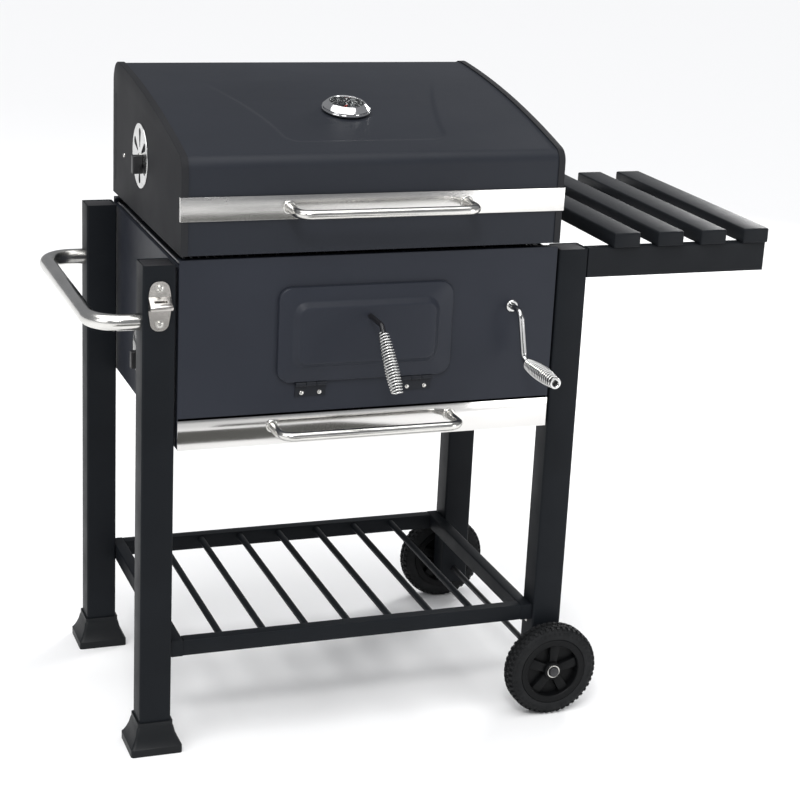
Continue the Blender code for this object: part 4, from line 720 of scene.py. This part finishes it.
# ---------------------------------------------------------------- tube handles
# Bent stainless tube: one across the lid, one across the ash drawer, and a thicker push handle
# between the left legs. Each pull ends in a small collar against its sheet.
def rounded_route(corners, bend, steps=10):
    """The corners as a route whose turns are arcs of the given radius."""
    corners = [Vector(c) for c in corners]
    route = [corners[0]]
    for before, corner, after in zip(corners, corners[1:], corners[2:]):
        incoming = (before - corner).normalized()
        outgoing = (after - corner).normalized()
        half_angle = incoming.angle(outgoing) / 2
        reach = bend / math.tan(half_angle)
        centre = corner + (incoming + outgoing).normalized() * bend / math.sin(half_angle)
        start = corner + incoming * reach - centre
        finish = corner + outgoing * reach - centre
        turn = start.angle(finish)
        axis = start.cross(finish).normalized()
        for i in range(steps + 1):
            route.append(centre + Matrix.Rotation(turn * i / steps, 3, axis) @ start)
    return route + [corners[-1]]


tube_steel = surface("tube_steel", (0.70, 0.69, 0.66), metallic=1.0, roughness=(0.16, 0.26),
                     mottle=(0.85, 1.05), mottle_scale=12, grain=1.0, grain_depth=0.00002,
                     grain_stretch=(900, 900, 900))
pull_r, pull_bend = 0.0070, 0.020
collar_profile = [(0.0060, 0), (0.0093, 0), (0.0096, 0.0006), (0.0096, 0.0022), (0.0088, 0.0030),
                  (0.0070, 0.0034), (0.0060, 0.0030), (0.0060, 0)]
for node, body in (("lid_handle", "lid"), ("ash_drawer_handle", "ash_drawer")):
    low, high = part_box(node)
    z = (low.z + high.z) / 2
    face_y = high.y
    left, right = low.x + pull_r, high.x - pull_r
    reach_y = low.y + pull_r
    route = rounded_route([(left, face_y, z), (left, reach_y, z), (right, reach_y, z), (right, face_y, z)],
                          pull_bend)
    pull = finished(bar_along(route, pull_r, node + "_tube", 6), node + "_tube", tube_steel, 40)
    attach(pull, body)
    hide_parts(node)
    for side, x in (("left", left), ("right", right)):
        shape = turned(collar_profile, 32, place=(x, face_y, z), axis=(0, -1, 0))
        collar = finished(shape, f"{node}_collar_{side}", tube_steel)
        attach(collar, body)

low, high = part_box("push_handle")
push_r, push_bend = 0.0125, 0.045
z = (low.z + high.z) / 2
near_y, far_y, bar_x = low.y + push_r, high.y - push_r, low.x + push_r
route = rounded_route([(high.x, near_y, z), (bar_x, near_y, z), (bar_x, far_y, z), (high.x, far_y, z)],
                      push_bend, 14)
push = finished(bar_along(route, push_r, "push_handle_tube", 7), "push_handle_tube", tube_steel, 40)
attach(push, "frame")
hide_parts("push_handle")

# ---------------------------------------------------------------- ash drawer front
# Polished stainless strip with a return along its top edge, spot welded to the tray. Its tube
# handle is made with the others above.
low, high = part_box("ash_drawer_front")
shape = block(low, (high.x, low.y + strip_thick, high.z), strip_edge, 2)
block((low.x, low.y + return_inset, high.z - strip_thick), high, return_edge, 2, shape=shape)
mirror_steel = surface("mirror_steel", (0.66, 0.65, 0.635), metallic=1.0, roughness=(0.07, 0.16),
                       mottle=(0.86, 1.06), mottle_scale=2.4, grain=1.0, grain_depth=0.00001,
                       stretch=(1.0, 2.0, 4.0), grain_stretch=(8, 1600, 1600))
front = finished(shape, "ash_drawer_front_strip", mirror_steel)
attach(front, "ash_drawer")
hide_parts("ash_drawer_front")


# ---------------------------------------------------------------- fuel door
# Pressed steel door with a raised centre, hung on two butt hinges below it and held by a
# turning latch. Two rivets fix each hinge leaf to the firebox.
low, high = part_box("fuel_door")
door_rim, door_raise, door_margin, door_slope = 0.006, 0.008, 0.023, 0.008
door_corner, door_thick = 0.020, 0.0012
door_mid = (low + high) / 2
half_x, half_z = (high.x - low.x) / 2, (high.z - low.z) / 2
shape = bmesh.new()
corners = [shape.verts.new((sx * half_x, 0, sz * half_z)) for sx, sz in ((-1, -1), (1, -1), (1, 1), (-1, 1))]
shape.faces.new(corners)
bmesh.ops.bevel(shape, geom=corners, offset=door_corner, affect="VERTICES", segments=8, profile=0.5,
                material=-1)
ring = list(shape.edges)
bmesh.ops.delete(shape, geom=list(shape.faces), context="FACES_ONLY")
size = (half_x, half_z, door_corner)
press = ((0, -door_rim + 0.0022, door_corner), (0.0007, -door_rim + 0.0007, door_corner),
         (0.0022, -door_rim, 0.018), (door_margin - 0.0020, -door_rim, 0.022),
         (door_margin - 0.0005, -door_rim - 0.0006, 0.021),
         (door_margin + 0.0010, -door_rim - 0.0020, 0.020),
         (door_margin + door_slope - 0.0022, -door_rim - door_raise + 0.0018, 0.015),
         (door_margin + door_slope - 0.0006, -door_rim - door_raise + 0.0004, 0.014),
         (door_margin + door_slope + 0.0014, -door_rim - door_raise, 0.013))
for inward, y, corner in press:
    made = bmesh.ops.extrude_edge_only(shape, edges=ring)["geom"]
    ring = edges_in(made)
    new_size = (half_x - inward, half_z - inward, corner)
    for vert in verts_in(made):
        sx, sz = math.copysign(1, vert.co.x), math.copysign(1, vert.co.z)
        was = Vector((sx * (size[0] - size[2]), 0, sz * (size[1] - size[2])))
        lean = (Vector((vert.co.x, 0, vert.co.z)) - was) / size[2]
        vert.co = Vector((sx * (new_size[0] - corner), y, sz * (new_size[1] - corner))) + lean * corner
    size = new_size
bmesh.ops.contextual_create(shape, geom=ring)
bmesh.ops.translate(shape, vec=(door_mid.x, high.y, door_mid.z), verts=shape.verts)
bmesh.ops.recalc_face_normals(shape, faces=shape.faces)
shape.normal_update()
if max(shape.faces, key=lambda f: f.calc_area()).normal.y > 0:
    bmesh.ops.reverse_faces(shape, faces=shape.faces)
bmesh.ops.solidify(shape, geom=shape.faces, thickness=door_thick)
door = finished(shape, "fuel_door_pressed", box_coat, 30)
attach(door, "fuel_door")
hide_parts("fuel_door")

hinge_steel = surface("hinge_steel", (0.0120, 0.0135, 0.0175), roughness=(0.36, 0.46), grain=800,
                      specular=0.2)
rivet_inset, rivet_rise, leaf_thick = 0.010, 0.0062, 0.0012
for side in ("left", "right"):
    repaint("door_hinge_" + side, hinge_steel)
    repaint("door_knuckle_" + side, hinge_steel)
    low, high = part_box("door_hinge_" + side)
    for k, x in enumerate((low.x + rivet_inset, high.x - rivet_inset)):
        shape = turned([(0.0001, 0.0022), (0.0018, 0.0020), (0.0032, 0.0011), (0.0036, 0.0), (0.0001, 0.0)],
                       24, place=(x, high.y - leaf_thick, low.z + rivet_rise), axis=(0, -1, 0))
        rivet = finished(shape, f"door_rivet_{side}_{k + 1}", ring_steel)
        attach(rivet, "frame")


# ---------------------------------------------------------------- coil grips
# Springs of chromed wire wound to a barrel over the door's latch rod and the crank's rod, which
# keep cool because air passes between their turns.
def coil_grip(start, along, length, inner_r, middle_r, end_r, wire_r, turns, name, peak):
    """Helix along a direction; its radius swells from inner_r to middle_r and falls to end_r."""
    along = Vector(along).normalized()
    side = along.orthogonal().normalized()
    up = along.cross(side)
    per_turn = 24
    points = []
    for i in range(turns * per_turn + 1):
        share = i / (turns * per_turn)
        swell = math.sin(math.pi * min(1, share / peak) / 2) if share < peak else \
            math.cos(math.pi * (share - peak) / (1 - peak) / 2)
        swell **= 0.7
        edge_r = inner_r if share < peak else end_r
        radius = edge_r + (middle_r - edge_r) * swell
        angle = 2 * math.pi * i / per_turn
        points.append(Vector(start) + along * (wire_r + (length - 2 * wire_r) * share)
                      + (side * math.cos(angle) + up * math.sin(angle)) * (radius - wire_r))
    return bar_along(points, wire_r, name, 2)


grip_chrome = surface("grip_chrome", (0.66, 0.66, 0.65), metallic=1.0, roughness=(0.07, 0.15),
                      mottle=(0.9, 1.04), mottle_scale=60, grain=500, grain_depth=0.00001)
rod_chrome = surface("rod_chrome", (0.48, 0.48, 0.48), metallic=1.0, roughness=(0.10, 0.18),
                     mottle=(0.85, 1.05), mottle_scale=30, grain=500, grain_depth=0.00002)
rod_black = surface("rod_black", (0.012, 0.012, 0.014), metallic=0.2, roughness=(0.30, 0.42), grain=700)

latch = joint_place["door_latch_turn"]
lean = Vector((0.12, -0.56, -1.0)).normalized()
latch_rod_r, latch_bend, latch_reach, latch_root = 0.004, 0.010, 0.050, 0.014
elbow = latch + Vector((0, -latch_reach, 0))
grip_start = elbow + lean * latch_bend
route = rounded_route([latch + Vector((0, latch_root, 0)), elbow, grip_start + lean * 0.092], latch_bend, 10)
shape = bar_along(route, latch_rod_r, "door_handle_rod_bent", 5)
rod = finished(shape, "door_handle_rod_bent", rod_black, 40)
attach(rod, "door_latch")
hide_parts("door_handle_rod")
shape = coil_grip(grip_start, lean, 0.096, 0.0075, 0.0115, 0.0088, 0.0013, 22, "door_grip_coil", 0.62)
grip = finished(shape, "door_grip_coil", grip_chrome, 60)
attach(grip, "door_latch")
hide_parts("door_handle_grip")

crank = joint_place["crank_turn"]
crank_rod_r, crank_bend, crank_reach = 0.0047, 0.014, 0.034
bush_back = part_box("crank_bush")[1].y
shape = turned([(0.0048, 0), (0.0100, 0), (0.0100, 0.0008), (0.0092, 0.0020), (0.0078, 0.0030),
                (0.0056, 0.0030), (0.0048, 0.0024), (0.0048, 0)], 40, place=(crank.x, bush_back, crank.z),
               axis=(0, -1, 0))
bush = finished(shape, "crank_bush_ring", grip_chrome)
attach(bush, "frame")
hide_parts("crank_bush")
grip_low, grip_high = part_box("crank_grip")
rod_low, rod_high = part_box("crank_rod")
grip_x, grip_z = (grip_low.x + grip_high.x) / 2, (grip_low.z + grip_high.z) / 2
arm_y = crank.y - crank_reach
route = rounded_route([(crank.x, rod_high.y, crank.z), (crank.x, arm_y, crank.z), (grip_x, arm_y, grip_z),
                       (grip_x, rod_low.y + 0.005, grip_z)], crank_bend, 12)
rod = finished(bar_along(route, crank_rod_r, "crank_rod_bent", 6), "crank_rod_bent", rod_chrome, 40)
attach(rod, "crank")
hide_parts("crank_rod")
shape = coil_grip((grip_x, grip_high.y, grip_z), (0, -1, 0), grip_high.y - grip_low.y, 0.0085, 0.0125, 0.0082,
                  0.0014, 17, "crank_grip_coil", 0.45)
grip = finished(shape, "crank_grip_coil", grip_chrome, 60)
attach(grip, "crank")
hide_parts("crank_grip")
# A black tube round the crank's chrome rod inside the coil is painted shade, and it keeps the gaps between
# the turns dark.
shade_core_bore, shade_core_r = 0.0044, 0.0056
shade_core_length = grip_high.y - grip_low.y - 0.006
shape = turned([(shade_core_bore, 0), (shade_core_r, 0), (shade_core_r, shade_core_length), (shade_core_bore, shade_core_length),
                (shade_core_bore, 0)], 24, place=(grip_x, grip_high.y - 0.001, grip_z), axis=(0, -1, 0))
shade_core = finished(shape, "crank_grip_sleeve", rod_black)
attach(shade_core, "crank")
shape = turned([(0.0046, 0), (0.0084, 0), (0.0088, 0.0010), (0.0084, 0.0022), (0.0060, 0.0024),
                (0.0046, 0.0014), (0.0046, 0)], 32, place=(grip_x, grip_low.y + 0.0024, grip_z),
               axis=(0, -1, 0))
ring = finished(shape, "crank_grip_ring", grip_chrome)
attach(ring, "crank")

# ---------------------------------------------------------------- thermometer
# Chromed gauge on the roof: a thick bezel, a dark dial with a ring of ticks and a pointer,
# under flat glass. Its stem goes through the sheet.
needle = joint_place["thermometer_needle_turn"]
needle_joint = next(j for j in frame["joints"] if j["name"] == "thermometer_needle_turn")
dial_axis = Vector(needle_joint["axis"]).normalized()
needle_height = 0.0069
foot = needle - dial_axis * needle_height
bezel_chrome = surface("bezel_chrome", (0.78, 0.78, 0.78), metallic=1.0, roughness=(0.06, 0.14),
                       mottle=(0.9, 1.04), mottle_scale=40, grain=500, grain_depth=0.00001)
radius, rise = 0.0375, 0.014
face_r = 0.0262
profile = [(0.0001, 0.0050), (face_r - 0.0002, 0.0050), (face_r - 0.0002, rise - 0.0016),
           (face_r + 0.0002, rise - 0.0002), (face_r + 0.0014, rise), (face_r + 0.0028, rise - 0.0006),
           (radius - 0.0022, rise - 0.0062), (radius - 0.0010, rise - 0.0074),
           (radius - 0.0012, rise - 0.0086), (radius - 0.0026, rise - 0.0092), (radius - 0.0024, 0.0042),
           (radius - 0.0004, 0.0036),
           (radius, 0.0028), (radius - 0.0002, 0.0012), (0.86 * radius, 0.0004), (0.005, 0.0004),
           (0.005, -0.030), (0.0001, -0.030)]
case = finished(turned(profile, 96, place=foot, axis=dial_axis), "thermometer_bezel", bezel_chrome, 30)
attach(case, "lid")
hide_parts("thermometer_case")
dial_paint = surface("dial_paint", (0.012, 0.012, 0.013), roughness=(0.3, 0.4), grain=300,
                     grain_depth=0.00001)
shape = turned([(0.0001, 0.0056), (face_r - 0.0004, 0.0056), (face_r - 0.0004, 0.0051), (0.0001, 0.0051)], 64,
               place=foot, axis=dial_axis)
dial = finished(shape, "thermometer_dial", dial_paint)
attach(dial, "lid")
tick_paint = surface("tick_paint", (0.72, 0.72, 0.70), roughness=(0.4, 0.5), grain=300, grain_depth=0.00001)
tick_count, long_every, tick_start, tick_sweep = 30, 5, -45, 270
short_tick, long_tick, tick_circle = (0.0022, 0.0004, 0.0002), (0.0040, 0.0007, 0.0002), 0.0232
shape = bmesh.new()
tick_frame = Matrix.Translation(foot) @ dial_axis.to_track_quat("Z", "Y").to_matrix().to_4x4()
for i in range(tick_count + 1):
    size = short_tick if i % long_every else long_tick
    tick = unit_block(shape, size)
    inset = (size[0] - short_tick[0]) / 2
    stand = (tick_frame @ Matrix.Rotation(math.radians(tick_start + tick_sweep * i / tick_count), 4, "Z")
             @ Matrix.Translation((tick_circle - inset, 0, 0.0057)))
    bmesh.ops.transform(shape, matrix=stand, verts=tick)
ticks = finished(shape, "thermometer_ticks", tick_paint)
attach(ticks, "lid")
needle_paint = surface("needle_paint", (0.55, 0.05, 0.035), roughness=(0.3, 0.4), grain=300,
                       grain_depth=0.00001)
repaint("thermometer_needle", needle_paint)
glass = surface("dial_glass", (0.95, 0.97, 0.97), roughness=(0.02, 0.06), mottle=(0.97, 1.0), grain=200,
                grain_depth=0.000002)
glass_shader = glass.node_tree.nodes["Principled BSDF"]
glass_shader.inputs["IOR"].default_value = 1.06
glass_shader.inputs["Transmission Weight"].default_value = 1.0
shape = turned([(0.0001, rise - 0.0024), (face_r - 0.0003, rise - 0.0024), (face_r - 0.0003, rise - 0.0034),
                (0.0001, rise - 0.0034)], 64, place=foot, axis=dial_axis)
pane = finished(shape, "thermometer_glass", glass)
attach(pane, "lid")


# ---------------------------------------------------------------- bottle opener
# Stamped stainless plate on the front left leg, held by two cross-head screws, with a lip bent
# out across its middle over a slot.
low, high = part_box("bottle_opener")
plate_steel = surface("plate_steel", (0.50, 0.48, 0.455), metallic=1.0, roughness=(0.16, 0.28),
                      mottle=(0.82, 1.06), mottle_scale=50, grain=700, grain_depth=0.00004)
mid_x, mid_z, half_h = (low.x + high.x) / 2, (low.z + high.z) / 2, (high.z - low.z) / 2
plate_thick, waist_half, screw_rise = 0.0020, 0.0165, 0.0265
plate_y = high.y - plate_thick
outline = [(0.0120, half_h), (waist_half, 0.0170), (waist_half, -0.0095), (0.0120, -half_h)]
outline += [(-x, z) for x, z in reversed(outline)]
shape = bmesh.new()
ring = [shape.verts.new((mid_x + x, plate_y, mid_z + z)) for x, z in outline]
plate_face = shape.faces.new(ring)
shape.normal_update()
if plate_face.normal.y > 0:
    bmesh.ops.reverse_faces(shape, faces=[plate_face])
lobes = [v for v in shape.verts if abs(v.co.z - mid_z) > half_h - 1e-4]
bmesh.ops.bevel(shape, geom=lobes, offset=0.0100, affect="VERTICES", segments=8, profile=0.5, material=-1)
waist = [v for v in shape.verts if abs(abs(v.co.x - mid_x) - waist_half) < 1e-4]
bmesh.ops.bevel(shape, geom=waist, offset=0.0050, affect="VERTICES", segments=4, profile=0.5, material=-1)
made = bmesh.ops.extrude_face_region(shape, geom=list(shape.faces))["geom"]
bmesh.ops.translate(shape, vec=(0, plate_thick, 0), verts=verts_in(made))
bmesh.ops.recalc_face_normals(shape, faces=shape.faces)
plate = finished(shape, "bottle_opener_plate", plate_steel, 25)
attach(plate, "frame")
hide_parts("bottle_opener")
shape = bmesh.new()
fold = [(0.0012, 0.0150), (-0.0125, 0.0048), (-0.0150, 0.0034), (-0.0162, 0.0012), (-0.0160, -0.0012),
        (-0.0145, -0.0032), (-0.0125, -0.0036), (-0.0105, -0.0024), (0.0012, -0.0070)]
side = [shape.verts.new((mid_x - waist_half, plate_y + y, mid_z + z)) for y, z in fold]
lip_face = shape.faces.new(side)
made = bmesh.ops.extrude_face_region(shape, geom=[lip_face])["geom"]
bmesh.ops.translate(shape, vec=(2 * waist_half, 0, 0), verts=verts_in(made))
bmesh.ops.recalc_face_normals(shape, faces=shape.faces)
ends = [e for e in shape.edges if abs(e.verts[0].co.x - e.verts[1].co.x) < 1e-6]
bmesh.ops.bevel(shape, geom=ends, offset=0.0006, affect="EDGES", segments=2, profile=0.5, material=-1)
slots = bmesh.new()
block((mid_x - 0.0095, high.y - 0.0160, mid_z + 0.0072), (mid_x + 0.0095, high.y - 0.0040, mid_z + 0.0098),
      0.0011, 3, shape=slots)
block((mid_x - 0.0095, high.y - 0.0110, mid_z - 0.0075), (mid_x + 0.0095, high.y - 0.0045, mid_z - 0.0042),
      0.0011, 3, shape=slots)
shape = cut_out(shape, slots)
lip = finished(shape, "bottle_opener_lip", plate_steel, 35)
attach(lip, "frame")
for label, z in (("upper", mid_z + screw_rise), ("lower", mid_z - screw_rise)):
    screw = turned([(0.0001, 0.0034), (0.0026, 0.0032), (0.0044, 0.0022), (0.0050, 0.0010), (0.0050, 0.0005),
                    (0.0064, 0.0005), (0.0066, 0.0), (0.0001, 0.0)], 32, place=(mid_x, high.y - 0.0019, z),
                   axis=(0, -1, 0))
    cross = bmesh.new()
    for half_x, half_z in ((0.0028, 0.0005), (0.0005, 0.0028)):
        block((mid_x - half_x, high.y - 0.0060, z - half_z), (mid_x + half_x, high.y - 0.0040, z + half_z),
              shape=cross)
    head = finished(cut_out(screw, cross), "bottle_opener_screw_" + label, ring_steel, 30)
    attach(head, "frame")

# ---------------------------------------------------------------- side table
# Two tube rails screwed to the right legs, and four folded steel slats across them, coated
# like the legs.
slat_coat = surface("slat_coat", (0.0080, 0.0092, 0.0112), specular=0.12, roughness=(0.44, 0.54),
                    mottle=(0.9, 1.1), grain=650, grain_depth=0.00007)
for name in ("table_front_rail", "table_back_rail"):
    low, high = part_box(name)
    rail = finished(block(low, high, 0.0025, 3, only=0), name + "_tube", slat_coat)
    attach(rail, "frame")
    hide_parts(name)
for k in range(4):
    name = f"table_slat_{k + 1}"
    low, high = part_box(name)
    slat = finished(block(low, high, 0.0028, 3), name + "_folded", slat_coat)
    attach(slat, "frame")
    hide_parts(name)
